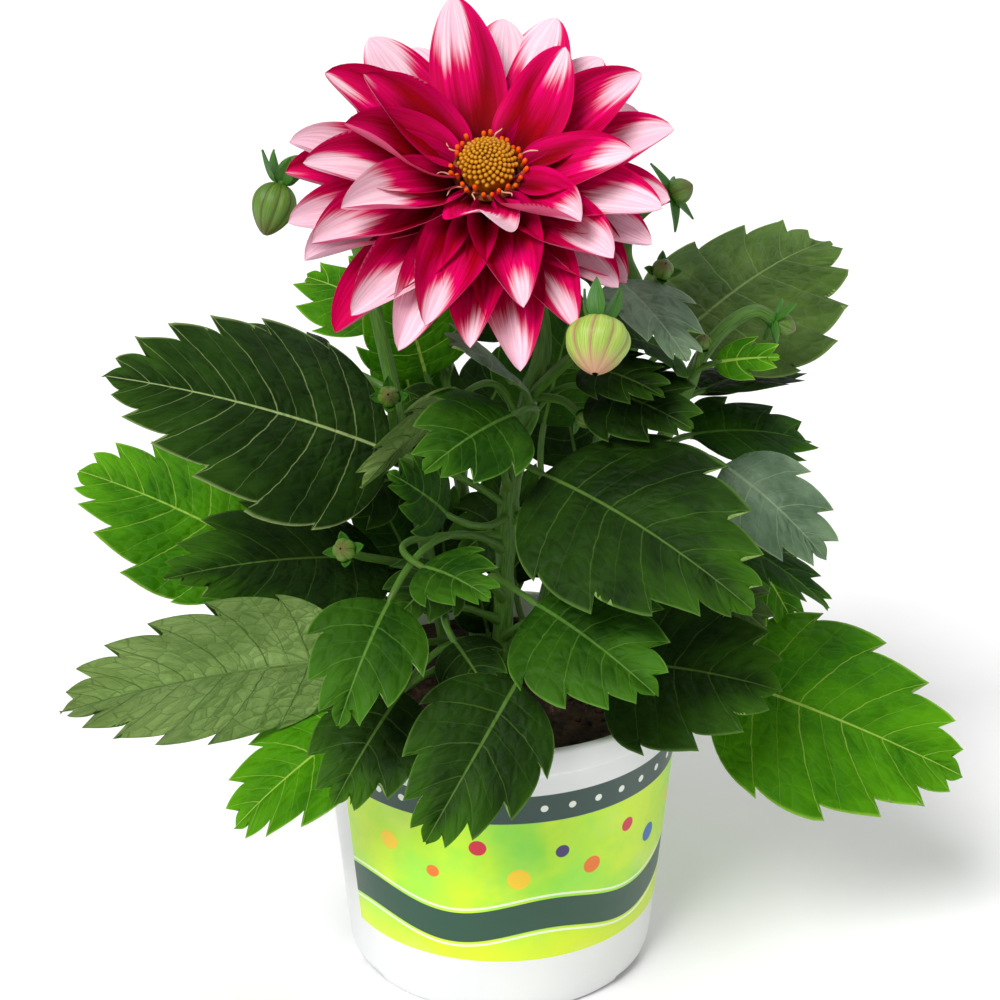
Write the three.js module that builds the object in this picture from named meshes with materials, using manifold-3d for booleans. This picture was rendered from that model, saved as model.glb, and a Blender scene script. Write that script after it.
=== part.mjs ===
// A potted dwarf dahlia: a round pot, its soil, branching stems, toothed leaves, nodding buds and
// one open flower. Millimetres, +Z up. The origin is the middle of the pot's underside, and the
// plant is seen from -Y.
import * as THREE from 'three';
import { mergeVertices } from 'three/addons/utils/BufferGeometryUtils.js';
import Module from 'manifold-3d';

const wasm = await Module();
wasm.setup();

// Driving dimensions of the pot.
const POT_HEIGHT = 101.6;
const POT_FOOT_RADIUS = 48;
const POT_WALL_RADIUS_AT_FOOT = 50.6;
const POT_WALL_SLOPE = 0.094;
const POT_WALL = 1.6;
const POT_FLOOR = 4.4;
const CORNER_RISE = 3;
const FOOT_CHAMFER = [2.3, 3];
const WALL_START = 8;
const INSIDE_TAPER = 1.5;
const LIP_HEIGHT = 9;
const LIP_PROUD = 1.1;
const LIP_CHAMFER = 1;
const LIP_INNER_CHAMFER = 0.6;
const FOOT_RING_WIDTH = 9;
const FOOT_LIFT = 1.4;
const CENTRE_PAD_RADIUS = 13;
const NOTCH_WIDTH = 17;
const NOTCH_HEIGHT = 3;
const NOTCH_COUNT = 6;
const NOTCH_OVERRUN = 4;
const DRAIN_RADIUS = 4;
const DRAIN_CIRCLE_RADIUS = 26;
const DRAIN_SIDES = 12;
const POT_SIDES = 36;

// Driving dimensions of what grows in it.
const SOIL_TOP = 93;
const SOIL_MOUND = 2;
const SOIL_MOUND_SHOULDER = 0.6;
const SOIL_INSET = 0.8;
const GAP = 0.3;
const PETIOLE_HALF = 1.15;
const PETIOLE_KNEE_SHARE = 0.5;
const BLADE_HALF_THICKNESS = 0.45;
const BLADE_TIP_HALF = 0.35;
const PETIOLE_STEPS = 3;
const BLADE_STEPS = 6;
const STEM_ARC_STEPS = 3;
const CURVE_SEARCH_STEPS = 400;
const SMALLEST_HALF = 0.3;

// Driving dimensions of the flower, in its own frame: +Z is the way the flower faces.
const FLOWER_CENTRE = [-3.5, -40, 282];
const FLOWER_TILT = THREE.MathUtils.degToRad(40);
const WHORL_DISC_RADIUS = 9;
const WHORL_PITCH = 2.5;
const DISC_RADIUS = 8.2;
const DISC_BOTTOM = -5.2;
const DISC_TOP = 5;
const CALYX_HEIGHT = 7;
const NECK_RADIUS = 2.4;
const WHORL_COUNT = 4;
const PETAL_ROOT_RADIUS = 7;
const PETAL_ROOT_LEVEL = 5.5;
const PETAL_KNEE_SHARE = 0.5;
const PETAL_KNEE_LEAST = 16;
const PETAL_CUP = 0.12;
const PETAL_HALF_THICKNESS = 0.45;
const ANTHER_COUNT = 16;
const ANTHER_LENGTH = 6.2;
const ANTHER_LEAN = 0.18;
const ANTHER_RING_WIDTH = 2.2;
const ANTHER_RING_THICKNESS = 1.2;
const EYE_SIDES = 18;

const plant = new THREE.Group();
const flower = new THREE.Group();
flower.position.set(...FLOWER_CENTRE);
flower.rotation.x = FLOWER_TILT;
plant.add(flower);

const vector = (xyz) => new THREE.Vector3(...xyz);

// Heights on the flower's axis: the middle of each whorl's disc, and the calyx under the last one.
const whorlHeight = (index) => DISC_BOTTOM - GAP - WHORL_PITCH * (index + 0.5);
const CALYX_TOP = whorlHeight(WHORL_COUNT - 1) - (WHORL_PITCH - GAP) / 2 - GAP;
const CALYX_BOTTOM = CALYX_TOP - CALYX_HEIGHT;

// A point on the flower's axis, in the plant's frame.
function onFlowerAxis(height) {
  const point = new THREE.Vector3(0, 0, height).applyEuler(flower.rotation);
  return point.add(flower.position).toArray();
}

// Turns a closed geometry into a solid that can be joined and cut.
function toSolid(geometry) {
  const bare = geometry.clone();
  bare.deleteAttribute('normal');
  bare.deleteAttribute('uv');
  const merged = mergeVertices(bare, 1e-4);
  return new wasm.Manifold(new wasm.Mesh({
    numProp: 3,
    vertProperties: Float32Array.from(merged.attributes.position.array),
    triVerts: Uint32Array.from(merged.index.array),
  }));
}

// Turns a solid back into a geometry.
function toGeometry(solid) {
  const mesh = solid.getMesh();
  const geometry = new THREE.BufferGeometry();
  geometry.setAttribute('position', new THREE.BufferAttribute(mesh.vertProperties, 3));
  geometry.setIndex(new THREE.BufferAttribute(mesh.triVerts, 1));
  geometry.computeVertexNormals();
  return geometry;
}

const joined = (solids) => solids.reduce((whole, piece) => whole.add(piece));

function addPiece(parent, name, solid, color, roughness) {
  const material = new THREE.MeshStandardMaterial({ color, roughness, metalness: 0 });
  const mesh = new THREE.Mesh(toGeometry(solid), material);
  mesh.name = name;
  parent.add(mesh);
}

// A thin slab with its corners moved by place(along, across, up): along runs 0 to 1, across and up
// run -1 to 1.
function slab(lengthSteps, widthSteps, place) {
  const box = new THREE.BoxGeometry(1, 1, 1, lengthSteps, widthSteps, 1);
  const position = box.attributes.position;
  for (let i = 0; i < position.count; i += 1) {
    const along = position.getX(i) + 0.5;
    const across = position.getY(i) * 2;
    const up = position.getZ(i) * 2;
    position.setXYZ(i, ...place(along, across, up));
  }
  return toSolid(box);
}

// A round rod of one thickness along a curve.
function rod(curve, radius, steps) {
  const section = new THREE.Shape();
  section.absarc(0, 0, radius, 0, Math.PI * 2);
  const options = { steps, extrudePath: curve, curveSegments: STEM_ARC_STEPS, bevelEnabled: false };
  return toSolid(new THREE.ExtrudeGeometry(section, options));
}

const smoothCurve = (points) => new THREE.CatmullRomCurve3(points.map(vector), false, 'centripetal');

// A turned body about +Z from [radius, height] pairs.
function turned(profile, sides) {
  const points = profile.map(([radius, height]) => new THREE.Vector2(radius, height));
  const lathe = new THREE.LatheGeometry(points, sides);
  lathe.rotateX(Math.PI / 2);
  return toSolid(lathe);
}

// The pot: outer wall radius at a height, the inside radius just above its floor, and the turned shell
// with its foot and lip.
const wallRadius = (height) => POT_WALL_RADIUS_AT_FOOT + POT_WALL_SLOPE * height;
const insideRadius = wallRadius(POT_FLOOR) - POT_WALL - INSIDE_TAPER;

function potShell() {
  const lipBottom = POT_HEIGHT - LIP_HEIGHT;
  const ringInner = POT_FOOT_RADIUS - FOOT_RING_WIDTH;
  return turned([
    [0, 0],
    [CENTRE_PAD_RADIUS, 0],
    [CENTRE_PAD_RADIUS + 1, FOOT_LIFT],
    [ringInner - 1, FOOT_LIFT],
    [ringInner, 0],
    [POT_FOOT_RADIUS, 0],
    [POT_FOOT_RADIUS + FOOT_CHAMFER[0], FOOT_CHAMFER[1]],
    [wallRadius(WALL_START), WALL_START],
    [wallRadius(lipBottom), lipBottom],
    [wallRadius(lipBottom) + LIP_PROUD, lipBottom + LIP_CHAMFER],
    [wallRadius(POT_HEIGHT) + LIP_PROUD, POT_HEIGHT - LIP_CHAMFER],
    [wallRadius(POT_HEIGHT), POT_HEIGHT],
    [wallRadius(POT_HEIGHT) - POT_WALL, POT_HEIGHT - LIP_INNER_CHAMFER],
    [insideRadius, POT_FLOOR + CORNER_RISE],
    [insideRadius - CORNER_RISE, POT_FLOOR],
    [0, POT_FLOOR],
  ], POT_SIDES);
}

// Channels that run out through the foot ring, one at the front and the rest evenly round.
function footNotch(index) {
  const length = FOOT_RING_WIDTH + NOTCH_OVERRUN * 2;
  const box = new THREE.BoxGeometry(NOTCH_WIDTH, length, NOTCH_HEIGHT * 2);
  box.translate(0, -(POT_FOOT_RADIUS + NOTCH_OVERRUN - length / 2), 0);
  box.rotateZ(index * Math.PI * 2 / NOTCH_COUNT);
  return toSolid(box);
}

function drainHole(index) {
  const hole = new THREE.CylinderGeometry(DRAIN_RADIUS, DRAIN_RADIUS, POT_FLOOR * 4, DRAIN_SIDES);
  hole.rotateX(Math.PI / 2);
  hole.translate(0, DRAIN_CIRCLE_RADIUS, 0);
  hole.rotateZ((index + 0.5) * Math.PI * 2 / NOTCH_COUNT);
  return toSolid(hole);
}

function makePot() {
  let pot = potShell();
  for (let i = 0; i < NOTCH_COUNT; i += 1) {
    pot = pot.subtract(footNotch(i)).subtract(drainHole(i));
  }
  addPiece(plant, 'pot', pot, 0xf4f4f2, 0.45);
}

// Stems: each is a curve from inside the soil to its flower or bud, with side shoots that leave it.
// A side shoot starts on its stem's own middle line.
const STEMS = {
  main_stem: {
    color: 0x6f9a3a,
    shoots: [
      { key: 'main', radius: 2.7, steps: 16, points: [
        [0, 0, 78], [1, -1, 120], [3, -6, 165], [9, -16, 202], [13, -20, 220], [9, -18, 240],
        [1, -17, 254], onFlowerAxis(CALYX_BOTTOM - 5), onFlowerAxis(CALYX_BOTTOM - GAP)] },
      { key: 'front', radius: 1.6, steps: 14, points: [
        [9, -16, 202], [18, -34, 218], [26, -54, 232], [29.5, -69, 240], [28.8, -74, 246.5],
        [28.2, -76, 250.5], [27.8, -79.5, 252], [27.5, -82, 249.5]] },
      { key: 'small_front', radius: 1.3, steps: 4, points: [
        [9, -16, 202], [19, -22, 203], [24, -29, 201]] },
    ],
  },
  left_stem: {
    color: 0x5f8a34,
    shoots: [
      { key: 'left', radius: 2.1, steps: 18, points: [
        [-13, 5, 78], [-20, 6, 120], [-28, 2, 165], [-34, 1, 200], [-41, 4, 232], [-47, 7, 252],
        [-53, 5, 266], [-59, 0, 272], [-64.5, -3.5, 271.5], [-66, -5, 267]] },
      { key: 'left_small', radius: 1.3, steps: 4, points: [
        [-33.8, 1, 184], [-34, -8, 196], [-34, -20, 203]] },
      { key: 'left_low', radius: 1.3, steps: 5, points: [
        [-22, 5, 132], [-32, -16, 146], [-42, -38, 158], [-46, -52, 166]] },
    ],
  },
  right_stem: {
    color: 0x74a53c,
    shoots: [
      { key: 'right', radius: 2.3, steps: 16, points: [
        [15, 6, 78], [28, 8, 120], [44, 7, 160], [57, 4, 192], [63, 3, 208], [72, 4, 219],
        [80, 4, 223], [85, 4, 220.5]] },
      { key: 'right_small', radius: 1.4, steps: 3, points: [
        [61, 3.4, 202], [62, -2, 209], [62.5, -6, 214.5]] },
    ],
  },
  back_right_stem: {
    color: 0x5f8a34,
    shoots: [
      { key: 'back_right', radius: 2.1, steps: 16, points: [
        [8, 12, 78], [18, 17, 130], [34, 17, 180], [44, 10, 225], [39, 9, 240], [41, 6, 251],
        [47, 2, 258.5], [52, 0, 261.5]] },
      { key: 'back_right_small', radius: 1.4, steps: 4, points: [
        [44, 10, 225], [47, 0, 231], [49, -8, 239]] },
    ],
  },
  rear_stem: {
    color: 0x5f8a34,
    shoots: [
      { key: 'rear', radius: 2.1, steps: 12, points: [
        [-6, 14, 78], [-10, 24, 130], [-16, 34, 180], [-20, 42, 222], [-20, 47, 240]] },
    ],
  },
};

const SHOOTS = Object.fromEntries(
  Object.values(STEMS).flatMap(({ shoots }) => shoots).map((shoot) => [shoot.key, {
    ...shoot,
    curve: smoothCurve(shoot.points),
  }]),
);

// A stem's shoots as one body, thicker all round by the given clearance.
function stemSolid(name, clearance) {
  return joined(STEMS[name].shoots.map(({ key }) => {
    const { curve, radius, steps } = SHOOTS[key];
    return rod(curve, radius + clearance, steps);
  }));
}

// The soil fills the pot to just under the lip, with a socket round each stem.
function makeSoil() {
  const top = wallRadius(SOIL_TOP) - POT_WALL - SOIL_INSET;
  const side = insideRadius - GAP;
  let soil = turned([
    [0, POT_FLOOR + GAP],
    [side - CORNER_RISE, POT_FLOOR + GAP],
    [side, POT_FLOOR + GAP + CORNER_RISE],
    [top, SOIL_TOP],
    [top * SOIL_MOUND_SHOULDER, SOIL_TOP + SOIL_MOUND * SOIL_MOUND_SHOULDER],
    [0, SOIL_TOP + SOIL_MOUND],
  ], POT_SIDES);
  Object.keys(STEMS).forEach((name) => {
    soil = soil.subtract(stemSolid(name, GAP));
  });
  addPiece(plant, 'potting_soil', soil, 0x2c2119, 0.95);
}

// The point where a shoot reaches a height.
function pointAtHeight(key, height) {
  const { curve } = SHOOTS[key];
  for (let i = 0; i <= CURVE_SEARCH_STEPS; i += 1) {
    const point = curve.getPoint(i / CURVE_SEARCH_STEPS);
    if (point.z >= height) {
      return point;
    }
  }
  return curve.getPoint(1);
}

function leafFrom([shoot, height, base, tip, width, face, arch, fold]) {
  return { shoot, height, base, tip, width, face, arch, fold };
}

// Half the width of a leaf blade, from 0 to 1, at a part of its length: broad near the base and
// drawn out to the tip.
const bladeOutline = (t) => Math.sin(Math.PI * t ** 0.68) ** 0.78;

// A leaf: its stalk leaves the shoot at a height and arrives in line with the blade, and the blade
// runs from base to tip, humped by arch and with its halves raised by fold degrees.
function leafSolid({ shoot, height, base, tip, width, face, arch, fold }) {
  const root = pointAtHeight(shoot, height);
  const start = vector(base);
  const end = vector(tip);
  const span = end.clone().sub(start);
  const along = span.clone().normalize();
  const normal = vector(face).projectOnPlane(along).normalize();
  const knee = start.clone().addScaledVector(along, -PETIOLE_KNEE_SHARE * start.distanceTo(root));
  const stalk = new THREE.QuadraticBezierCurve3(root, knee, start);
  const raise = Math.tan(THREE.MathUtils.degToRad(fold));
  const steps = PETIOLE_STEPS + BLADE_STEPS;

  return slab(steps, 2, (fraction, across, up) => {
    const step = fraction * steps;
    if (step < PETIOLE_STEPS - 1e-6) {
      const centre = stalk.getPoint(step / PETIOLE_STEPS);
      const tangent = stalk.getTangent(step / PETIOLE_STEPS);
      const side = normal.clone().cross(tangent).normalize();
      const top = tangent.clone().cross(side);
      centre.addScaledVector(side, across * PETIOLE_HALF);
      centre.addScaledVector(top, up * PETIOLE_HALF);
      return centre.toArray();
    }
    const t = 0.5 - 0.5 * Math.cos(Math.PI * (step - PETIOLE_STEPS) / BLADE_STEPS);
    const least = THREE.MathUtils.lerp(PETIOLE_HALF, BLADE_TIP_HALF, t);
    const half = Math.max(least, width / 2 * bladeOutline(t));
    const side = normal.clone().cross(along);
    const centre = start.clone().addScaledVector(span, t);
    centre.addScaledVector(normal, arch * 4 * t * (1 - t) + Math.abs(across) * half * raise);
    centre.addScaledVector(side, across * half);
    centre.addScaledVector(normal, up * (t < 0.01 ? PETIOLE_HALF : BLADE_HALF_THICKNESS));
    return centre.toArray();
  });
}

// The smaller leaves that are one piece with their stem: the stem, and then as below.
const STEM_LEAVES = [
  ['main_stem', 'main', 174, [-8, -24, 194], [-16, -44, 189], 18, [0, -6, 7], 2, 6],
  ['main_stem', 'main', 131, [-16, -24, 147], [-32, -42, 139], 24, [0, -6, 7], 2, 6],
  ['main_stem', 'main', 152, [16, -28, 168], [24, -58, 164], 28, [0, -5, 8], 2, 6],
  ['left_stem', 'left', 196, [-58, 14, 204], [-88, 30, 206], 38, [-3, 3, 9], 3, 6],
  ['left_stem', 'left', 150, [-42, 24, 160], [-68, 46, 160], 42, [-3, 4, 9], 3, 6],
  ['left_stem', 'left', 142, [-34, 6, 166], [-56, -2, 160], 28, [0, -6, 7], 2, 6],
  ['left_stem', 'left', 128, [-29, 10, 134], [-43, 10, 166], 26, [0, -8, 4], 2, 6],
  ['right_stem', 'right', 176, [66, 24, 190], [98, 46, 186], 38, [3, 3, 9], 3, 6],
  ['right_stem', 'right', 96, [27, 3, 109], [49, -9, 98], 31, [0, -7, 6], 2, 6],
  ['right_stem', 'right', 200, [67, -4, 209], [86, -11, 213], 13, [0, -7, 7], 1, 6],
  ['back_right_stem', 'back_right', 178, [50, 38, 184], [78, 64, 176], 40, [3, 4, 9], 3, 6],
  ['back_right_stem', 'back_right', 205, [30, 32, 224], [14, 54, 234], 32, [0, 4, 9], 3, 6],
  ['back_right_stem', 'back_right', 118, [4, 18, 149], [-13, 13, 136], 28, [0, -7, 6], 2, 6],
  ['back_right_stem', 'back_right', 122, [24, 28, 142], [48, 21, 122], 36, [0, -7, 6], 2, 6],
  ['back_right_stem', 'back_right', 140, [14, 12, 182], [24, 10, 228], 40, [0, -8, 4], 2, 6],
  ['back_right_stem', 'back_right', 100, [5, 25, 120], [3, 27, 170], 28, [0, -8, 4], 2, 6],
  ['back_right_stem', 'back_right', 150, [26, 36, 158], [18, 38, 198], 34, [0, -8, 4], 2, 6],
  ['rear_stem', 'rear', 160, [-42, 44, 178], [-76, 62, 174], 40, [-2, 3, 9], 3, 6],
  ['rear_stem', 'rear', 222, [-4, 56, 232], [16, 84, 226], 36, [2, 4, 9], 3, 6],
  ['rear_stem', 'rear', 138, [6, 56, 156], [32, 90, 148], 42, [1, 4, 9], 3, 6],
  ['rear_stem', 'rear', 160, [-14, 14, 184], [-32, 12, 178], 28, [0, -7, 6], 2, 6],
  ['rear_stem', 'rear', 165, [-6, 26, 178], [5, 23, 202], 30, [0, -7, 5], 2, 6],
  ['rear_stem', 'rear', 180, [-24, 30, 192], [-33, 24, 230], 36, [0, -8, 4], 2, 6],
  ['rear_stem', 'rear', 196, [-10, 32, 204], [-4, 26, 236], 36, [0, -8, 4], 2, 6],
  ['rear_stem', 'rear', 98, [-4, 8, 110], [-8, 6, 132], 18, [0, -8, 4], 2, 6],
  ['rear_stem', 'rear', 112, [8, 40, 116], [14, 42, 146], 32, [0, -8, 4], 2, 6],
  ['rear_stem', 'rear', 118, [-18, 24, 122], [-20, 22, 158], 26, [0, -8, 4], 2, 6],
  ['rear_stem', 'rear', 114, [-30, 38, 113], [-42, 38, 142], 30, [0, -8, 4], 2, 6],
  ['rear_stem', 'rear', 170, [-29, 40, 177], [-34, 40, 207], 26, [0, -8, 4], 2, 6],
  ['rear_stem', 'rear', 150, [-26, 34, 158], [-30, 33, 186], 26, [0, -8, 4], 2, 6],
].map(([stem, ...spec]) => ({ stem, ...leafFrom(spec) }));

// Every other leaf: where its stalk leaves which shoot, where its blade starts and ends, its width, the
// way its upper side faces, its hump and its fold.
const LEAVES = [
  ['leaf_left_upper', 'main', 160, [-33, -22, 186], [-117, -42, 218], 70, [-1, -6, 8], 5, 0],
  ['leaf_left_bright', 'left', 118, [-75, 8, 137], [-138, 22, 162], 60, [0, -5, 9], 4, 0],
  ['leaf_left_middle', 'left', 124, [-37, -6, 143], [-103, -40, 151], 54, [0, -4, 9], 4, 6],
  ['leaf_left_pale', 'left', 108, [-46, -42, 126], [-132, -70, 121], 62, [0, 9, 3], 4, 5],
  ['leaf_front_left', 'main', 144, [-33, -64, 155], [-47, -92, 128], 34, [0, -7, 7], 5, 6],
  ['leaf_front_small', 'main', 150, [-23, -61, 165], [-3, -80, 163], 24, [0, -5, 9], 2, 6],
  ['leaf_low_left_bright', 'left', 98, [-40, -40, 105], [-83, -54, 72], 46, [0, -3, 9], 3, 6],
  ['leaf_low_left_dark', 'main', 106, [-30, -52, 119], [-50, -78, 94], 38, [0, -6, 8], 3, 6],
  ['leaf_front_low', 'main', 112, [5, -68, 130], [-22, -97, 92], 42, [1, -8, 6], 3, 6],
  ['leaf_front_centre', 'main', 126, [11, -60, 152], [45, -92, 138], 48, [0, -7, 7], 4, 6],
  ['leaf_right_dark', 'main', 100, [34, -32, 119], [86, -52, 119], 62, [0, -6, 8], 4, 6],
  ['leaf_right_bright', 'right', 101, [70, -6, 102], [150, -22, 73], 68, [0, -7, 7], 5, 0],
  ['leaf_centre_large', 'main', 166, [13, -45, 188], [72, -92, 165], 64, [0, -6, 8], 6, 5],
  ['leaf_centre_left', 'main', 182, [4, -42, 206], [-22, -66, 197], 35, [0, -6, 8], 3, 6],
  ['leaf_left_folded', 'main', 186, [-11, -34, 210], [-41, -53, 187], 26, [-6, 6, 5], 2, 8],
  ['leaf_under_flower', 'main', 196, [4, -36, 215], [-14, -62, 234], 28, [0, -5, 9], 2, 6],
  ['leaf_back_right_large', 'back_right', 150, [58, 22, 209], [110, 70, 226], 66, [1, -4, 9], 6, -12],
  ['leaf_right_folded', 'back_right', 212, [36, -15, 239], [55, -43, 223], 29, [4, -5, 8], 2, 8],
  ['leaf_right_inner', 'right', 186, [52, -13, 215], [30, -36, 228], 34, [0, -4, 9], 2, 6],
  ['leaf_right_middle', 'main', 178, [29, -24, 208], [57, -44, 202], 34, [0, -5, 9], 2, 6],
  ['leaf_right_curled', 'main', 206, [25, -27, 216], [48, -46, 213], 22, [0, -5, 9], 2, 6],
  ['leaf_right_upper_small', 'right', 168, [62, 12, 179], [102, 30, 169], 38, [0, -3, 9], 3, 6],
  ['leaf_right_middle_small', 'right', 158, [71, -5, 175], [102, -22, 150], 34, [0, -5, 8], 3, 6],
  ['leaf_right_edge', 'right', 140, [74, -10, 151], [104, -20, 132], 24, [2, -1, 9], 2, 6],
  ['leaf_right_lower_small', 'right', 122, [80, 14, 140], [97, 12, 112], 26, [3, -8, 5], 2, 6],
  ['leaf_right_pale', 'right', 110, [62, 2, 132], [86, -6, 118], 28, [0, -5, 9], 2, 6],
  ['leaf_back_left_pale', 'rear', 190, [-34, 34, 211], [-64, 55, 218], 38, [0, -5, 9], 2, 6],
  ['leaf_inner_left', 'main', 158, [-16, -38, 172], [-33, -54, 192], 22, [0, -7, 6], 2, 6],
  ['leaf_inner_front', 'main', 118, [-14, -50, 135], [-2, -70, 125], 20, [0, -7, 6], 2, 6],
  ['leaf_rear_upper', 'rear', 190, [-12, 62, 206], [-4, 108, 188], 50, [0, 5, 9], 4, 6],
  ['leaf_rear_left', 'rear', 140, [-44, 52, 150], [-92, 84, 140], 56, [-3, 4, 9], 4, 6],
  ['leaf_rear_right', 'back_right', 110, [42, 52, 140], [78, 96, 126], 58, [3, 4, 9], 4, 6],
  ['leaf_rear_low', 'rear', 104, [-10, 62, 116], [-18, 118, 96], 52, [0, 4, 9], 4, 6],
].map(([name, ...spec]) => ({ name, ...leafFrom(spec) }));

function makeStems() {
  Object.entries(STEMS).forEach(([name, { color }]) => {
    const leaves = STEM_LEAVES.filter(({ stem }) => stem === name).map(leafSolid);
    addPiece(plant, name, joined([stemSolid(name, 0), ...leaves]), color, 0.55);
  });
}

function makeLeaves() {
  const thickStem = Object.fromEntries(Object.entries(STEMS).flatMap(([name, { shoots }]) => {
    const solid = stemSolid(name, GAP);
    return shoots.map(({ key }) => [key, solid]);
  }));
  LEAVES.forEach((leaf) => {
    addPiece(plant, leaf.name, leafSolid(leaf).subtract(thickStem[leaf.shoot]), 0x3f6b2a, 0.6);
  });
}

// A bud's outline as shares of its radius and its length, and its bracts' sizes.
const BUD_OUTLINE = [
  [0, 0], [0.32, 0], [0.62, 0.1], [0.96, 0.36], [1, 0.52], [0.8, 0.78], [0.3, 0.97], [0, 1],
];
const LARGE_BUD_RADIUS = 5;
const LARGE_BUD_SIDES = 12;
const SMALL_BUD_SIDES = 6;
const BRACT_ROOT_SHARE = 0.22;
const BRACT_ROOT_RISE = 0.5;
const BRACT_HALF_WIDTH_SHARE = 0.27;
const BRACT_HALF_THICKNESS = 0.4;
const BRACT_FIRST_TURN = 0.3;

// How far out a bract bends, as a share of its bud's radius: more for one that turns past the bud.
const bractKneeShare = (spread) => (spread > 100 ? 0.95 : 0.5);

// A bud hangs or stands at the end of a shoot: a ribbed round body with bracts about its base.
function budSolid({ radius, length, bracts, bractLength, spread }) {
  const profile = BUD_OUTLINE.map(([out, up]) => [radius * out, GAP + length * up]);
  const body = turned(profile, radius > LARGE_BUD_RADIUS ? LARGE_BUD_SIDES : SMALL_BUD_SIDES);
  return joined([body, ...Array.from({ length: bracts }, (_, i) => (
    budBract((i + BRACT_FIRST_TURN) * Math.PI * 2 / bracts, radius, bractLength, spread)
  ))]);
}

// A bract starts inside the bud's base, goes outward and turns by spread degrees from lying back
// along the stem.
function budBract(turn, radius, bractLength, spread) {
  const outward = new THREE.Vector3(Math.cos(turn), Math.sin(turn), 0);
  const sideways = new THREE.Vector3(-Math.sin(turn), Math.cos(turn), 0);
  const lean = THREE.MathUtils.degToRad(spread);
  const root = new THREE.Vector2(radius * BRACT_ROOT_SHARE, GAP + BRACT_ROOT_RISE);
  const knee = new THREE.Vector2(radius * bractKneeShare(spread) + 1, GAP + BRACT_ROOT_RISE);
  const far = new THREE.Vector2(Math.sin(lean), -Math.cos(lean)).multiplyScalar(bractLength).add(root);
  const line = new THREE.QuadraticBezierCurve(root, knee, far);
  return slab(3, 1, (along, across, up) => {
    const { x: reach, y: rise } = line.getPoint(along);
    const { x: leanOut, y: leanUp } = line.getTangent(along);
    const fullness = Math.sin(Math.PI * (0.2 + 0.78 * along));
    const half = Math.max(SMALLEST_HALF, bractLength * BRACT_HALF_WIDTH_SHARE * fullness);
    const point = outward.clone().multiplyScalar(reach - up * BRACT_HALF_THICKNESS * leanUp);
    point.addScaledVector(sideways, across * half);
    point.z = rise + up * BRACT_HALF_THICKNESS * leanOut;
    return point.toArray();
  });
}

// Every bud: the shoot it ends, its radius, its length, its bract count, their length and how far they
// turn from lying back along the stem, in degrees.
const BUDS = [
  ['bud_front', 'front', 9.6, 17, 5, 10, 38],
  ['bud_left', 'left', 7.2, 16.5, 5, 10, 62],
  ['bud_right_back', 'back_right', 4.2, 7.5, 5, 11, 84],
  ['bud_right_tip', 'right', 4, 8, 4, 9, 105],
  ['bud_right_small', 'right_small', 2.8, 6, 3, 4.5, 130],
  ['bud_back_right_small', 'back_right_small', 3.6, 6.5, 4, 6, 125],
  ['bud_left_small', 'left_small', 3.6, 6, 4, 6.5, 130],
  ['bud_left_low', 'left_low', 3.8, 6, 4, 6.5, 130],
  ['bud_inner_small', 'small_front', 3, 6, 3, 6, 120],
  ['bud_rear', 'rear', 4.5, 8, 4, 7, 110],
].map(([name, shoot, radius, length, bracts, bractLength, spread]) => (
  { name, shoot, radius, length, bracts, bractLength, spread }
));

function makeBuds() {
  BUDS.forEach((bud) => {
    const { curve } = SHOOTS[bud.shoot];
    const holder = new THREE.Group();
    holder.position.copy(curve.getPoint(1));
    holder.quaternion.setFromUnitVectors(new THREE.Vector3(0, 0, 1), curve.getTangent(1));
    plant.add(holder);
    addPiece(holder, bud.name, budSolid(bud), 0x8fa84a, 0.5);
  });
}

// Ray florets: each whorl is a disc under the flower's eye with its petals grown from it. Lift is
// the share of its rise that a petal has made half-way out. A petal is its turn about the flower's
// axis in degrees, its reach from the axis and its tip's height.
const WHORLS = [
  { name: 'ray_florets_inner', width: 19, lift: 0.3, petals: [
    [-95, 27, 14], [-47, 38, 12], [-8, 41, 14], [48, 33, 22], [103, 44, 22], [152, 39, 18],
    [176, 40, 16], [-151, 46, 12]] },
  { name: 'ray_florets_second', width: 20, lift: 0.45, petals: [
    [65, 46, 14], [29, 50, 11], [-20, 52, 5], [-45, 50, 3], [-78, 48, -1], [-108, 56, -3],
    [-150, 57, 2], [-175, 52, 8], [152, 53, 10], [134, 50, 11], [84, 44, 10]] },
  { name: 'ray_florets_third', width: 19, lift: 0.35, petals: [
    [11, 55, 1], [-27, 52, -4], [-45, 52, -7], [-63, 54, -9], [-95, 56, -10], [-114, 61, -9],
    [-129, 61, -7], [-162, 60, -4], [173, 58, -1], [140, 52, -1], [48, 50, 0]] },
  { name: 'ray_florets_outer', width: 21, lift: 0.3, petals: [
    [-81, 60, -15], [-133, 64, -14], [177, 59, -9], [-155, 58, -11], [136, 54, -7], [117, 51, -6],
    [84, 50, -6], [54, 51, -6], [26, 50, -7], [-39, 51, -13], [-6, 53, -10]] },
];

// Half the width of a petal, from 0 to 1: a narrow claw, full past the middle, then a blunt point.
function petalOutline(t) {
  const claw = 0.34 + 0.66 * Math.sin(Math.PI / 2 * Math.min(1, t / 0.6)) ** 1.25;
  const point = (1 - Math.max(0, (t - 0.55) / 0.45) ** 2.8) ** 0.62;
  return claw * point;
}

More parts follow.
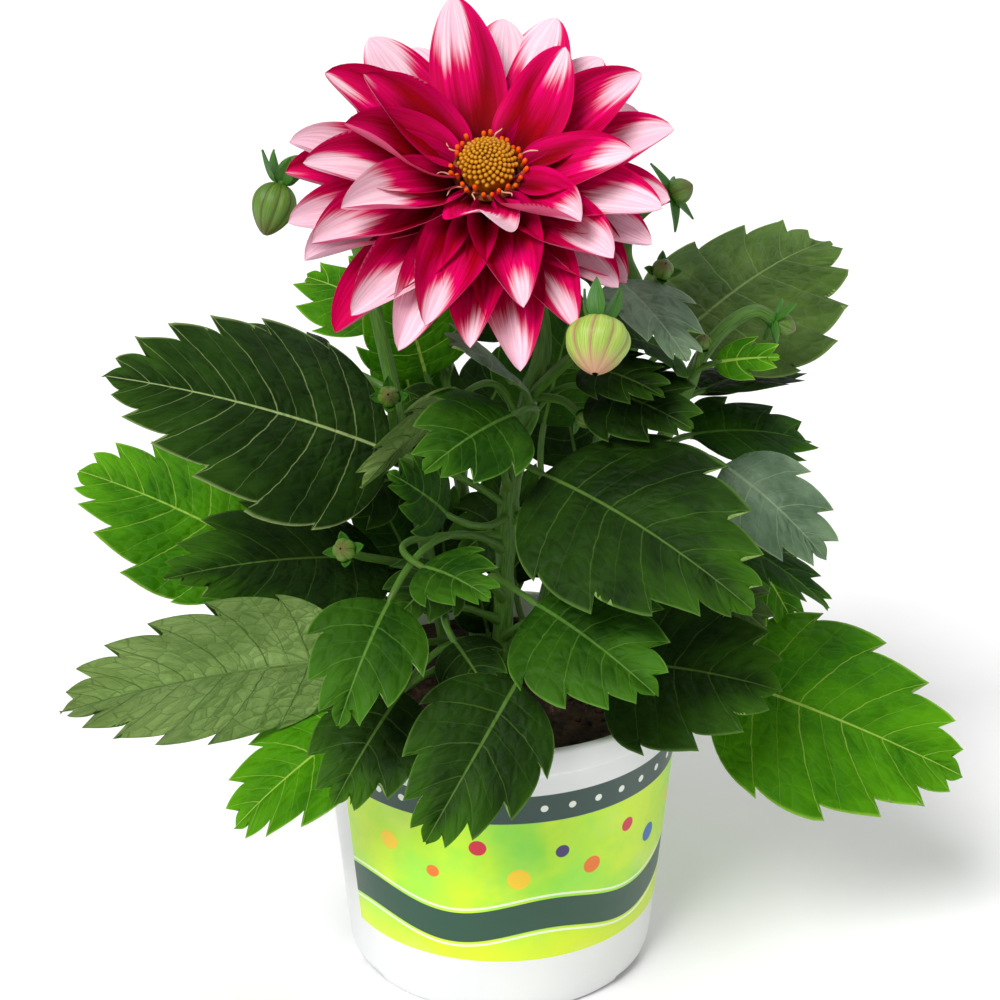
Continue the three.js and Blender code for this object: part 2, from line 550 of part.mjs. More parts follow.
function petalSolid([turn, reach, tipHeight], rootHeight, width, lift) {
  const outward = new THREE.Vector3(1, 0, 0).applyAxisAngle(
    new THREE.Vector3(0, 0, 1),
    THREE.MathUtils.degToRad(turn),
  );
  const sideways = new THREE.Vector3(0, 0, 1).cross(outward);
  const rib = new THREE.CubicBezierCurve(
    new THREE.Vector2(PETAL_ROOT_RADIUS, rootHeight),
    new THREE.Vector2(PETAL_ROOT_RADIUS + PETAL_ROOT_LEVEL, rootHeight),
    new THREE.Vector2(
      Math.max(PETAL_KNEE_LEAST, reach * PETAL_KNEE_SHARE),
      rootHeight + (tipHeight - rootHeight) * lift,
    ),
    new THREE.Vector2(reach, tipHeight),
  );
  return slab(5, 2, (part, across, up) => {
    const along = 1 - (1 - part) ** 1.5;
    const { x: radial, y: rise } = rib.getPoint(along);
    const half = Math.max(SMALLEST_HALF, width / 2 * petalOutline(along));
    const point = outward.clone().multiplyScalar(radial);
    point.addScaledVector(sideways, across * half);
    point.z = rise + up * PETAL_HALF_THICKNESS + Math.abs(across) * half * PETAL_CUP;
    return point.toArray();
  });
}

function whorlSolid(index) {
  const { petals, width, lift } = WHORLS[index];
  const height = whorlHeight(index);
  const thickness = WHORL_PITCH - GAP;
  const disc = new THREE.CylinderGeometry(WHORL_DISC_RADIUS, WHORL_DISC_RADIUS, thickness, 20);
  disc.rotateX(Math.PI / 2);
  disc.translate(0, 0, height);
  return joined([toSolid(disc), ...petals.map((petal) => petalSolid(petal, height, width, lift))]);
}

function makeWhorls() {
  WHORLS.forEach(({ name }, index) => {
    addPiece(flower, name, whorlSolid(index), 0xc2105a, 0.55);
  });
}

// The eye of the flower: a dome of disc florets, and a ring of open ones about it.
function makeEye() {
  const dome = turned([
    [0, DISC_BOTTOM],
    [DISC_RADIUS * 0.86, DISC_BOTTOM],
    [DISC_RADIUS, DISC_BOTTOM + 3],
    [DISC_RADIUS * 0.95, 0],
    [DISC_RADIUS * 0.7, DISC_TOP * 0.72],
    [0, DISC_TOP],
  ], EYE_SIDES);
  addPiece(flower, 'disc_florets', dome, 0xb8862a, 0.7);

  const inner = DISC_RADIUS + GAP;
  const outer = inner + ANTHER_RING_WIDTH - GAP;
  const bottom = DISC_BOTTOM + GAP * 2;
  const top = bottom + ANTHER_RING_THICKNESS;
  const section = [[inner, bottom], [outer, bottom], [outer, top], [inner, top], [inner, bottom]];
  const ring = turned(section, EYE_SIDES);
  const tubes = Array.from({ length: ANTHER_COUNT }, (_, i) => {
    const tube = new THREE.CylinderGeometry(0.8, 0.65, ANTHER_LENGTH, 4);
    tube.rotateX(Math.PI / 2);
    tube.translate(0, 0, ANTHER_LENGTH / 2);
    tube.rotateY(ANTHER_LEAN);
    tube.translate((inner + outer) / 2 + GAP, 0, (bottom + top) / 2);
    tube.rotateZ(i * Math.PI * 2 / ANTHER_COUNT);
    return toSolid(tube);
  });
  addPiece(flower, 'anther_ring', joined([ring, ...tubes]), 0xe0641c, 0.6);
}

// The green calyx that the flower stands on, flat on top and narrowing to the stem.
function makeCalyx() {
  const cup = turned([
    [0, CALYX_BOTTOM],
    [NECK_RADIUS, CALYX_BOTTOM],
    [NECK_RADIUS + 1.4, CALYX_BOTTOM + 2],
    [WHORL_DISC_RADIUS - 1, CALYX_TOP - 1.4],
    [WHORL_DISC_RADIUS, CALYX_TOP],
    [0, CALYX_TOP],
  ], 14);
  addPiece(flower, 'calyx', cup, 0x6d9440, 0.6);
}

makePot();
makeSoil();
makeStems();
makeLeaves();
makeBuds();
makeWhorls();
makeEye();
makeCalyx();

export default plant;
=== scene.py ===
import math

import bpy
import numpy as np
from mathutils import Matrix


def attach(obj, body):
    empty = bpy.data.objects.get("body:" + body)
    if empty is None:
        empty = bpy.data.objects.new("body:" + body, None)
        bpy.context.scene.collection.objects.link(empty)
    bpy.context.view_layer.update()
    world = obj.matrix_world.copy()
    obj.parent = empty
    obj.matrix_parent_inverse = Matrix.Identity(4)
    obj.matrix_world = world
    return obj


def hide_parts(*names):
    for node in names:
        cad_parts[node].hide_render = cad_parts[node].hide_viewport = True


# A potted dwarf dahlia. Shapes are worked out in millimetres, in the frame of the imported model: +Z up,
# the origin in the middle of the pot's underside, the plant seen from -Y.
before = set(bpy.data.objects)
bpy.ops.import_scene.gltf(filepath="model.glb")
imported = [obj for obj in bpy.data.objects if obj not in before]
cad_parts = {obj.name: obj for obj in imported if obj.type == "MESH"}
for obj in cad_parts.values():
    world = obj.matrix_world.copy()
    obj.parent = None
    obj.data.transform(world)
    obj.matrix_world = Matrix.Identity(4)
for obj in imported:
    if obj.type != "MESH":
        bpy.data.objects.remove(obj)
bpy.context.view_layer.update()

MM = 0.001

# The pot and what it holds.
POT_HEIGHT = 101.6
POT_FLOOR = 4.4
POT_WALL = 1.6
FOOT_RADIUS = 48
FOOT_RING_WIDTH = 9
FOOT_LIFT = 1.4
CENTRE_PAD_RADIUS = 13
LIP_HEIGHT = 9
LIP_PROUD = 1.1
NOTCH_WIDTH = 17
NOTCH_HEIGHT = 3
NOTCH_COUNT = 6
DRAIN_RADIUS = 4
DRAIN_CIRCLE_RADIUS = 26
SOIL_TOP = 93
SOIL_MOUND = 2

# The flower: its centre, how far it tips forward, and the heights on its own axis.
FLOWER_CENTRE = np.array([-3.5, -40, 282])
FLOWER_TILT = math.radians(40)
GAP = 0.3
DISC_RADIUS = 8.2
DISC_BOTTOM = -5.2
DISC_TOP = 5
WHORL_PITCH = 2.5
WHORL_COUNT = 4
WHORL_DISC_RADIUS = 9
PETAL_ROOT_RADIUS = 7
CALYX_TOP = DISC_BOTTOM - WHORL_PITCH * WHORL_COUNT - GAP * 1.5
CALYX_BOTTOM = CALYX_TOP - 7
NECK_RADIUS = 2.4

GOLDEN_TURN = math.radians(137.508)
UP = np.array([0, 0, 1.0])

# The radius at the closed end of a turned shape.
CLOSED = 0.01


def unit(vector):
    return vector / np.linalg.norm(vector)


def mixed(low, high, share):
    return low + (high - low) * share


def eased(low, high, value):
    """Rises smoothly from 0 at low to 1 at high."""
    share = np.clip((value - low) / (high - low), 0, 1)
    return share * share * (3 - 2 * share)


def from_flower(points):
    """Points in the flower's own frame, +Z the way it faces, as points of the plant."""
    cosine, sine = math.cos(FLOWER_TILT), math.sin(FLOWER_TILT)
    turn = np.array([[1, 0, 0], [0, cosine, -sine], [0, sine, cosine]])
    return np.asarray(points, float) @ turn.T + FLOWER_CENTRE


def on_flower_axis(height):
    return tuple(from_flower([0, 0, height]))


def around(turn):
    """The direction out from +Z at a turn, and the one square to it."""
    cosine, sine = math.cos(turn), math.sin(turn)
    return np.array([cosine, sine, 0]), np.array([-sine, cosine, 0])


def round_turns(count):
    return np.arange(count) * 2 * math.pi / count


def gathered(*values):
    """Grids of single numbers as one grid of points."""
    return np.stack(np.broadcast_arrays(*values), -1)


def turned(profile, sides):
    """Rings of points about +Z, from radius and height pairs."""
    radii, heights = np.array(profile, float).T[..., None]
    turns = round_turns(sides)
    return gathered(radii * np.cos(turns), radii * np.sin(turns), heights)


# Curves


class SmoothCurve:
    """A centripetal Catmull-Rom curve through points."""

    def __init__(self, points):
        self.points = np.array(points, float)

    def at(self, share):
        points = self.points
        last = len(points) - 1
        place = min(max(share, 0.0), 1.0) * last
        index = min(int(place), last - 1)
        weight = place - index
        second, third = points[index], points[index + 1]
        first = points[index - 1] if index > 0 else 2 * second - third
        fourth = points[index + 2] if index + 2 <= last else 2 * third - second
        before = np.sum((second - first) ** 2) ** 0.25
        between = np.sum((third - second) ** 2) ** 0.25
        after = np.sum((fourth - third) ** 2) ** 0.25
        leaving = (second - first) / before - (third - first) / (before + between)
        leaving = (leaving + (third - second) / between) * between
        arriving = (third - second) / between - (fourth - second) / (between + after)
        arriving = (arriving + (fourth - third) / after) * between
        cubic = 2 * second - 2 * third + leaving + arriving
        square = 3 * third - 3 * second - 2 * leaving - arriving
        return cubic * weight**3 + square * weight**2 + leaving * weight + second

    def many(self, count):
        return np.array([self.at(i / (count - 1)) for i in range(count)])

    def end_direction(self):
        return unit(self.at(1) - self.at(1 - 1e-4))


def bent_line(start, knee, end, count):
    """Points on a curve from start to end that leaves and arrives towards the knee."""
    share = np.linspace(0, 1, count)[:, None]
    return start * (1 - share) ** 2 + knee * 2 * share * (1 - share) + end * share**2


def headings(line):
    """The direction of a line at each of its points."""
    steps = np.gradient(line, axis=0)
    return steps / np.linalg.norm(steps, axis=1)[:, None]


# Meshes


def linked(name, data):
    """A new object in the scene."""
    made = bpy.data.objects.new(name, data)
    bpy.context.scene.collection.objects.link(made)
    return made


class Body:
    """Patches gathered into one mesh, with two sets of three numbers at each point for the materials."""

    def __init__(self):
        self.points = []
        self.places = []
        self.tones = []
        self.faces = []
        self.slots = []
        self.count = 0

    def patch(self, points, slot=0, place=(0, 0, 0), tone=(0, 0, 0), wrap=False, flip=False):
        """A grid of points. Its outside is on the side of rows crossed with columns, unless flipped."""
        rows, columns = points.shape[:2]
        index = self.count + np.arange(rows * columns).reshape(rows, columns)
        if wrap:
            index = np.concatenate([index, index[:, :1]], axis=1)
        corners = [index[:-1, :-1], index[1:, :-1], index[1:, 1:], index[:-1, 1:]]
        if flip:
            corners.reverse()
        quads = np.stack(corners, axis=-1).reshape(-1, 4)
        self.points.append(points.reshape(-1, 3))
        self.places.append(np.broadcast_to(place, points.shape).reshape(-1, 3))
        self.tones.append(np.broadcast_to(tone, points.shape).reshape(-1, 3))
        self.faces.extend(quads.tolist())
        self.slots.extend([slot] * len(quads))
        self.count += rows * columns

    def sheet(self, upper, lower, slots, place, tone=(0, 0, 0), flip=False):
        """The two skins of something thin. The upper one is listed as for a patch."""
        self.patch(upper, slots[0], place, tone, flip=flip)
        self.patch(lower, slots[1], place, tone, flip=not flip)

    def tube(self, centres, radii, sides, slot=0, tone=(0, 0, 0), ridges=0, ridge_depth=0.0):
        """A round body along centres. Its place is the distance along it and the turn round it."""
        centres = np.asarray(centres, float)
        tangents = headings(centres)
        side = np.cross(tangents[0], [0.31, 0.87, 0.39])
        turns = round_turns(sides)
        steps = np.linalg.norm(np.diff(centres, axis=0), axis=1)
        distance = np.concatenate([[0], np.cumsum(steps)])[:, None]
        rings = []
        for centre, tangent, radius in zip(centres, tangents, radii):
            side = unit(side - tangent * (side @ tangent))
            other = np.cross(tangent, side)
            reach = radius * (1 + ridge_depth * np.cos(turns * ridges))
            ring = np.outer(np.cos(turns) * reach, side) + np.outer(np.sin(turns) * reach, other)
            rings.append(centre + ring)
        self.patch(np.array(rings), slot, gathered(distance, turns, 0), tone, wrap=True, flip=True)

    def piece(self, name, materials, replaces):
        """The finished Blender object, riding on the plant's one body."""
        mesh = bpy.data.meshes.new(name)
        mesh.from_pydata((np.concatenate(self.points) * MM).tolist(), [], self.faces)
        for material in materials:
            mesh.materials.append(material)
        mesh.polygons.foreach_set("material_index", self.slots)
        mesh.polygons.foreach_set("use_smooth", [True] * len(self.faces))
        for attribute_name, values in (("place", self.places), ("tone", self.tones)):
            attribute = mesh.attributes.new(attribute_name, "FLOAT_VECTOR", "POINT")
            attribute.data.foreach_set("vector", np.concatenate(values).astype(np.float32).ravel())
        mesh.update()
        made = linked(name, mesh)
        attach(made, "root")
        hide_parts(*replaces)
        return made


# Materials


def colour(red, green, blue):
    """A screen colour from 0 to 255 as the renderer's own."""
    shares = np.array([red, green, blue]) / 255
    linear = np.where(shares <= 0.04045, shares / 12.92, ((shares + 0.055) / 1.055) ** 2.4)
    return (*linear.tolist(), 1.0)


class Value:
    """What one node of a material gives. A sum written with it becomes nodes too."""

    def __init__(self, paint, socket):
        self.paint = paint
        self.socket = socket

    def __add__(self, other):
        return self.paint.math("ADD", self, other)

    def __sub__(self, other):
        return self.paint.math("SUBTRACT", self, other)

    def __rsub__(self, other):
        return self.paint.math("SUBTRACT", other, self)

    def __mul__(self, other):
        return self.paint.math("MULTIPLY", self, other)

    def __truediv__(self, other):
        return self.paint.math("DIVIDE", self, other)

    def __pow__(self, other):
        return self.paint.math("POWER", self, other)

    def __abs__(self):
        return self.paint.math("ABSOLUTE", self)


class Paint:
    """One procedural material, built node by node."""

    def __init__(self, name):
        self.material = bpy.data.materials.new(name)
        self.material.use_nodes = True
        self.tree = self.material.node_tree
        self.shader = self.tree.nodes["Principled BSDF"]

    def put(self, socket, value):
        if isinstance(value, Value):
            self.tree.links.new(value.socket, socket)
        else:
            socket.default_value = value

    def add(self, kind, inputs, **settings):
        """All that a new node gives."""
        node = self.tree.nodes.new(kind)
        for name, value in settings.items():
            setattr(node, name, value)
        for key, value in inputs.items():
            self.put(node.inputs[key], value)
        return {output.identifier: Value(self, output) for output in node.outputs}

    def first(self, kind, inputs, **settings):
        """The first thing that a new node gives."""
        return next(iter(self.add(kind, inputs, **settings).values()))

    def math(self, operation, first, second=0.0, third=0.0):
        return self.first("ShaderNodeMath", {0: first, 1: second, 2: third}, operation=operation)

    def greater(self, first, second):
        return self.math("MAXIMUM", first, second)

    def fraction(self, value):
        return self.math("FRACT", value)

    def span(self, value, low, high, out_low=0.0, out_high=1.0):
        """Goes smoothly from out_low to out_high as value goes from low to high."""
        inputs = {0: value, 1: low, 2: high, 3: out_low, 4: out_high}
        return self.first("ShaderNodeMapRange", inputs, interpolation_type="SMOOTHSTEP")

    def blend(self, share, low, high):
        node = self.add("ShaderNodeMix", {0: share, 6: low, 7: high}, data_type="RGBA")
        return node["Result_Color"]

    def scaled(self, vector, factors):
        return self.first("ShaderNodeVectorMath", {0: vector, 1: factors}, operation="MULTIPLY")

    def noise(self, vector, scale, detail=3.0, roughness=0.5):
        inputs = {"Vector": vector, "Scale": scale, "Detail": detail, "Roughness": roughness}
        return self.first("ShaderNodeTexNoise", inputs)

    def cell_edges(self, vector, scale):
        """The distance from the nearest border between random cells."""
        inputs = {"Vector": vector, "Scale": scale}
        return self.first("ShaderNodeTexVoronoi", inputs, feature="DISTANCE_TO_EDGE")

    def joined(self, x, y, z=0.0):
        return self.first("ShaderNodeCombineXYZ", {0: x, 1: y, 2: z})

    def split(self, vector):
        return self.add("ShaderNodeSeparateXYZ", {0: vector}).values()

    def attribute(self, name):
        """The three numbers that a mesh holds under a name."""
        return self.split(self.add("ShaderNodeAttribute", {}, attribute_name=name)["Vector"])

    def object_place(self):
        return self.add("ShaderNodeTexCoord", {})["Object"]

    def bump(self, height, distance, strength=1.0, under=None):
        inputs = {"Height": height, "Distance": distance, "Strength": strength}
        if under is not None:
            inputs["Normal"] = under
        return self.first("ShaderNodeBump", inputs)

    def finish(self, base, roughness, normal=None, specular=0.5):
        self.put(self.shader.inputs["Base Color"], base)
        self.put(self.shader.inputs["Roughness"], roughness)
        if normal is not None:
            self.put(self.shader.inputs["Normal"], normal)
        self.shader.inputs["Specular IOR Level"].default_value = specular
        return self.material


def leaf_paint(name, colours, strengths, gloss, vein_rise=-0.45):
    """A leaf's skin. Its place is the vein count along it, the millimetres across it and the vein pitch;
    its tone is the share across, the share along and the leaf's own number."""
    paint = Paint(name)
    deep, light, glow, vein, net = [colour(*tint) for tint in colours]
    rib_strength, side_strength, net_strength = strengths
    count, across_mm, pitch = paint.attribute("place")
    across, along, own = paint.attribute("tone")
    out = abs(across)
    sheet = paint.joined(count * pitch, across_mm, own)
    wander = (paint.noise(sheet, 0.22, 2.0) - 0.5) * 1.3

    def side_veins(offset, width):
        away = (paint.fraction(count + (0.5 + offset)) - 0.5) * pitch + wander
        share = abs(away) / paint.span(out, 0.0, 1.0, width, width * 0.4)
        return paint.span(share, 0.4, 1.5, 1.0, 0.0)

    side_vein = paint.greater(side_veins(0.0, 0.24), side_veins(0.5, 0.16) * 0.45)
    side_vein = side_vein * paint.span(along, 0.98, 0.85, 0.0, side_strength)
    rib = abs(across_mm) / paint.span(along, 0.0, 1.0, 0.62, 0.2)
    veins = paint.greater(paint.span(rib, 0.5, 1.3, 1.0, 0.0) * rib_strength, side_vein)

    edges = paint.cell_edges(sheet, 0.24)
    fine = paint.span(paint.cell_edges(sheet, 0.7), 0.01, 0.07, 1.0, 0.0)
    net_line = paint.greater(paint.span(edges, 0.01, 0.05, 1.0, 0.0), fine * 0.4)

    patch = paint.noise(sheet, 0.06, 4.0, 0.6)
    skin = paint.blend(paint.span(patch, 0.3, 0.72), deep, light)
    spread = along * 0.6 + out * 0.4 + (patch - 0.5) * 0.7
    skin = paint.blend(paint.span(spread, 0.45, 1.05, 0.0, 0.85), skin, glow)
    skin = paint.blend(net_line * net_strength, skin, net)
    skin = paint.blend(veins, skin, vein)
    margin = paint.span(out, 0.965, 1.0, 0.0, 0.5)
    skin = paint.blend(margin, skin, vein)

    rough = paint.span(paint.noise(sheet, 0.5), 0.2, 0.8, 0.48, 0.62)
    relief = paint.span(edges, 0.0, 0.35) * 0.7 + paint.noise(sheet, 1.6, 2.0) * 0.16 + veins * vein_rise
    return paint.finish(skin, rough, paint.bump(relief, 0.8 * MM, 0.7), gloss)


def stem_paint(name, pale, deep, blush):
    """A stem's skin. Its place is the distance along it and the turn round it."""
    paint = Paint(name)
    distance, turn, _ = paint.attribute("place")
    streaks = paint.noise(paint.joined(turn * 2.2, distance * 0.05), 3.0, 4.0, 0.6)
    skin = paint.blend(paint.span(streaks, 0.32, 0.68), colour(*deep), colour(*pale))
    spots = paint.noise(paint.object_place(), 90.0, 3.0)
    skin = paint.blend(paint.span(spots, 0.55, 0.8, 0.0, 0.35), skin, colour(*blush))
    rough = paint.span(streaks, 0.2, 0.8, 0.42, 0.58)
    return paint.finish(skin, rough, paint.bump(streaks, 0.25 * MM, 0.5), 0.4)


def petal_paint(name, back):
    """A ray floret's skin. Its place is the share along it and the share across; its tone is how far the
    white tip reaches down, the petal's own number and how magenta it is."""
    paint = Paint(name)
    along, across, _ = paint.attribute("place")
    white_reach, own, magenta_share = paint.attribute("tone")
    out = abs(across)
    lines = paint.noise(paint.joined(across * 7.0, along * 1.3, own), 1.6, 4.0, 0.62)
    broad = paint.noise(paint.joined(across * 1.7, along * 1.5, own), 1.3, 2.0)

    flame = along + (lines - 0.5) * 0.22 + (broad - 0.5) * 0.16
    wedge = paint.span(paint.fraction(own * 3.7), 0.0, 1.0, 0.22, 0.5)
    leaning = paint.span(paint.fraction(own * 5.3), 0.0, 1.0, -0.16, 0.16)
    over = flame - (out**1.3 * wedge + across * leaning) - (1.04 - white_reach)
    white = paint.span(over, -0.02, 0.11)
    halo = paint.span(over, -0.3, 0.0)

    crimson = paint.blend(paint.span(broad, 0.3, 0.7), colour(128, 0, 6), colour(164, 0, 20))
    # Darker crimson towards the petal's base: partly the petal's own deeper red, partly painted shade deep
    # in the flower where the petals crowd together.
    base_dark_and_shade = paint.span(along, 0.1, 0.6, 1.0, 0.0)
    crimson = paint.blend(base_dark_and_shade, crimson, colour(78, 0, 6))
    magenta = paint.blend(paint.span(lines, 0.35, 0.65), colour(200, 0, 74), colour(230, 0, 108))
    # Magenta towards the margins along the whole petal: partly the petal's own magenta, partly a painted
    # highlight on the raised edges of the cupped petal, leaving painted shade down its crimson middle.
    rim = paint.span(out, 0.45, 1.0) * 0.85
    rosy = paint.greater(paint.greater(halo, rim), magenta_share)
    skin = paint.blend(rosy, crimson, magenta)
    pale = paint.blend(paint.span(lines, 0.3, 0.62), colour(236, 182, 204), colour(246, 216, 226))
    skin = paint.blend(white, skin, pale)
    nerve = paint.span(abs(lines - 0.5), 0.0, 0.03, 0.16, 0.0)
    skin = paint.blend(nerve, skin, colour(150, 20, 80))
    if back:
        skin = paint.blend(0.32, skin, colour(226, 150, 184))
    rough = paint.span(lines, 0.2, 0.8, 0.5, 0.64)
    return paint.finish(skin, rough, paint.bump(lines, 0.5 * MM, 0.45), 0.06)


def floret_paint(name, low, high, tip, scale):
    """A disc floret's skin. Its tone is the floret's own number and the share up it."""
    paint = Paint(name)
    own, rise, _ = paint.attribute("tone")
    grain = paint.noise(paint.object_place(), scale, 3.0)
    skin = paint.blend(own * 0.6 + grain * 0.4, colour(*low), colour(*high))
    skin = paint.blend(paint.span(rise, 0.5, 1.0, 0.0, 0.75), skin, colour(*tip))
    rough = paint.span(grain, 0.2, 0.8, 0.38, 0.6)
    return paint.finish(skin, rough, paint.bump(grain, 0.2 * MM, 0.4), 0.2)


def bud_paint(name, body, streak, line, apex, line_share):
    """A bud's scales. Its place is the share along, the share across one scale and the scale's number."""
    paint = Paint(name)
    along, across, number = paint.attribute("place")
    streaks = paint.noise(paint.joined(across * 5.0, along, number), 2.0, 3.0, 0.6)
    skin = paint.blend(paint.span(streaks, 0.3, 0.7), colour(*body), colour(*streak))
    edge = paint.span(abs(across), 0.6, 1.0, 0.0, line_share)
    skin = paint.blend(edge, skin, colour(*line))
    skin = paint.blend(paint.span(along, 0.62, 1.0, 0.0, 0.8), skin, colour(*apex))
    rough = paint.span(streaks, 0.2, 0.8, 0.36, 0.52)
    return paint.finish(skin, rough, paint.bump(streaks, 0.3 * MM, 0.5), 0.45)


def soil_paint():
    paint = Paint("moist_potting_soil")
    place = paint.object_place()
    clods = paint.noise(place, 130.0, 8.0, 0.7)
    fibres = paint.noise(paint.scaled(place, (600.0, 140.0, 300.0)), 1.0, 3.0)
    skin = paint.blend(paint.span(clods, 0.34, 0.72), colour(28, 20, 14), colour(74, 54, 38))
    skin = paint.blend(paint.span(fibres, 0.62, 0.75, 0.0, 0.5), skin, colour(116, 88, 60))
    normal = paint.bump(fibres, 0.6 * MM, 0.6, paint.bump(clods, 2.0 * MM, 0.9))
    return paint.finish(skin, paint.span(clods, 0.3, 0.7, 0.95, 0.78), normal, 0.25)


# The printed label goes round the pot between these turns from the front, in radians, and between these
# heights. Its upper edge is a dark band with a row of beads, and a wavy ribbon runs low on it.
LABEL_START = math.radians(-61)
LABEL_END = math.radians(196)
LABEL_RADIUS = 56 * MM
LABEL_LOW = 21.9 * MM
LABEL_GLOW_HIGH = 40 * MM
BAND_LOW = 75.2 * MM
BAND_HIGH = 85.2 * MM
BEAD_RADIUS = 1.2 * MM
BEAD_PITCH = 9 * MM
RIBBON_MIDDLE = 37 * MM
RIBBON_HALF = 5.75 * MM
RIBBON_WAVE = 2.6 * MM
RIBBON_RATE = 95.0
HAIRLINE = (6.7 * MM, 7.5 * MM)
PRINT_EDGE = 0.12 * MM

# Loose dots on the label: distance round from the front, height, radius and colour.
POT_DOTS = (
    (-38, 62, 3.4, (250, 206, 40)),
    (-22, 55, 2.2, (236, 120, 34)),
    (-7, 66, 2.8, (206, 34, 60)),
    (6, 54, 3.8, (250, 206, 40)),
    (20, 63, 2.3, (64, 50, 110)),
    (31, 55, 3.1, (236, 120, 34)),
    (45, 65, 2.5, (206, 34, 60)),
    (58, 56, 3.3, (40, 100, 176)),
    (74, 62, 2.6, (250, 206, 40)),
    (92, 56, 3.2, (206, 34, 60)),
)


def label_field(paint, wall, height):
    """The label's ground: lime and green running into each other, paler in places."""
    spread = paint.span(paint.noise(wall, 48.0, 5.0, 0.6), 0.35, 0.65)
    lime = paint.blend(spread, colour(206, 240, 30), colour(184, 234, 44))
    green = paint.blend(spread, colour(128, 226, 56), colour(156, 232, 74))
    drift = paint.span(paint.noise(wall, 22.0, 4.0, 0.55), 0.42, 0.62)
    field = paint.blend(drift, lime, green)
    low_glow = paint.span(height, LABEL_LOW, LABEL_GLOW_HIGH, 0.75, 0.0)
    field = paint.blend(low_glow, field, colour(222, 236, 26))
    pale_wash = paint.span(paint.noise(wall, 34.0, 3.0), 0.54, 0.74, 0.0, 0.4)
    return paint.blend(pale_wash, field, colour(226, 240, 150))


def pot_paint():
    """White moulded plastic with a washed lime and green label, a dark band, and plain dots."""
    paint = Paint("printed_pot_plastic")
    place = paint.object_place()
    x, y, z = paint.split(place)
    turn = paint.math("ARCTAN2", x, y * -1.0)
    turn = turn + paint.math("LESS_THAN", turn, LABEL_START) * (2 * math.pi)
    arc = turn * LABEL_RADIUS

    def between(value, low, high, soft=PRINT_EDGE):
        above = paint.span(value, low - soft, low + soft)
        return above * paint.span(value, high - soft, high + soft, 1.0, 0.0)

    def spot(across, up, radius, soft=PRINT_EDGE):
        away = paint.math("SQRT", across**2.0 + up**2.0)
        return paint.span(away, radius - soft, radius + soft, 1.0, 0.0)

    label_round = between(turn, LABEL_START + 0.002, LABEL_END, 0.002)
    grain = paint.span(paint.noise(place, 30.0, 4.0), 0.3, 0.7)
    skin = paint.blend(grain, colour(224, 226, 227), colour(232, 232, 231))
    field = label_field(paint, paint.joined(arc, z), z)
    skin = paint.blend(between(z, LABEL_LOW, BAND_LOW) * label_round, skin, field)
    skin = paint.blend(between(z, BAND_LOW, BAND_HIGH) * label_round, skin, colour(38, 68, 60))

    wave = paint.math("SINE", arc * RIBBON_RATE) * RIBBON_WAVE
    from_ribbon = abs(z - (wave + RIBBON_MIDDLE))
    ribbon = paint.span(from_ribbon, RIBBON_HALF - 0.15 * MM, RIBBON_HALF + 0.15 * MM, 1.0, 0.0)
    skin = paint.blend(ribbon * label_round, skin, colour(36, 76, 58))
    hairline = between(from_ribbon, *HAIRLINE, 0.1 * MM)
    skin = paint.blend(hairline * label_round, skin, colour(240, 246, 214))
    for arc_mm, height_mm, radius_mm, tint in POT_DOTS:
        dot = spot(arc - arc_mm * MM, z - height_mm * MM, radius_mm * MM)
        skin = paint.blend(dot, skin, colour(*tint))
    from_bead = abs(paint.fraction(arc * (1 / BEAD_PITCH)) - 0.5) * BEAD_PITCH
    bead = spot(from_bead, z - mixed(BAND_LOW, BAND_HIGH, 0.5), BEAD_RADIUS, 0.1 * MM)
    skin = paint.blend(bead * label_round, skin, colour(232, 238, 226))

    scuff = paint.noise(place, 400.0, 3.0)
    return paint.finish(skin, scuff * 0.12 + 0.30, paint.bump(scuff, 0.05 * MM, 0.3), 0.5)


# Stems


STEMS = {
    "main_stem": {
        "main": (2.7, [
            (0, 0, 78), (1, -1, 120), (3, -6, 165), (9, -16, 202), (13, -20, 220), (9, -18, 240),
            (1, -17, 254), on_flower_axis(CALYX_BOTTOM - 5), on_flower_axis(CALYX_BOTTOM - GAP)]),
        "front": (1.6, [
            (9, -16, 202), (18, -34, 218), (26, -54, 232), (29.5, -69, 240), (28.8, -74, 246.5),
            (28.2, -76, 250.5), (27.8, -79.5, 252), (27.5, -82, 249.5)]),
        "small_front": (1.3, [(9, -16, 202), (19, -22, 203), (24, -29, 201)]),
    },
    "left_stem": {
        "left": (2.1, [
            (-13, 5, 78), (-20, 6, 120), (-28, 2, 165), (-34, 1, 200), (-41, 4, 232), (-47, 7, 252),
            (-53, 5, 266), (-59, 0, 272), (-64.5, -3.5, 271.5), (-66, -5, 267)]),
        "left_small": (1.3, [(-33.8, 1, 184), (-34, -8, 196), (-34, -20, 203)]),
        "left_low": (1.3, [(-22, 5, 132), (-32, -16, 146), (-42, -38, 158), (-46, -52, 166)]),
    },
    "right_stem": {
        "right": (2.3, [
            (15, 6, 78), (28, 8, 120), (44, 7, 160), (57, 4, 192), (63, 3, 208), (72, 4, 219),
            (80, 4, 223), (85, 4, 220.5)]),
        "right_small": (1.4, [(61, 3.4, 202), (62, -2, 209), (62.5, -6, 214.5)]),
    },
    "back_right_stem": {
        "back_right": (2.1, [
            (8, 12, 78), (18, 17, 130), (34, 17, 180), (44, 10, 225), (39, 9, 240), (41, 6, 251),
            (47, 2, 258.5), (52, 0, 261.5)]),
        "back_right_small": (1.4, [(44, 10, 225), (47, 0, 231), (49, -8, 239)]),
    },
    "rear_stem": {
        "rear": (2.1, [(-6, 14, 78), (-10, 24, 130), (-16, 34, 180), (-20, 42, 222), (-20, 47, 240)]),
    },
}
SHOOTS = {
    key: (radius, SmoothCurve(points))
    for shoots in STEMS.values()
    for key, (radius, points) in shoots.items()
}


def point_at_height(key, height):
    curve = SHOOTS[key][1]
    for share in np.linspace(0, 1, 401):
        point = curve.at(share)
        if point[2] >= height:
            return point
    return curve.at(1)
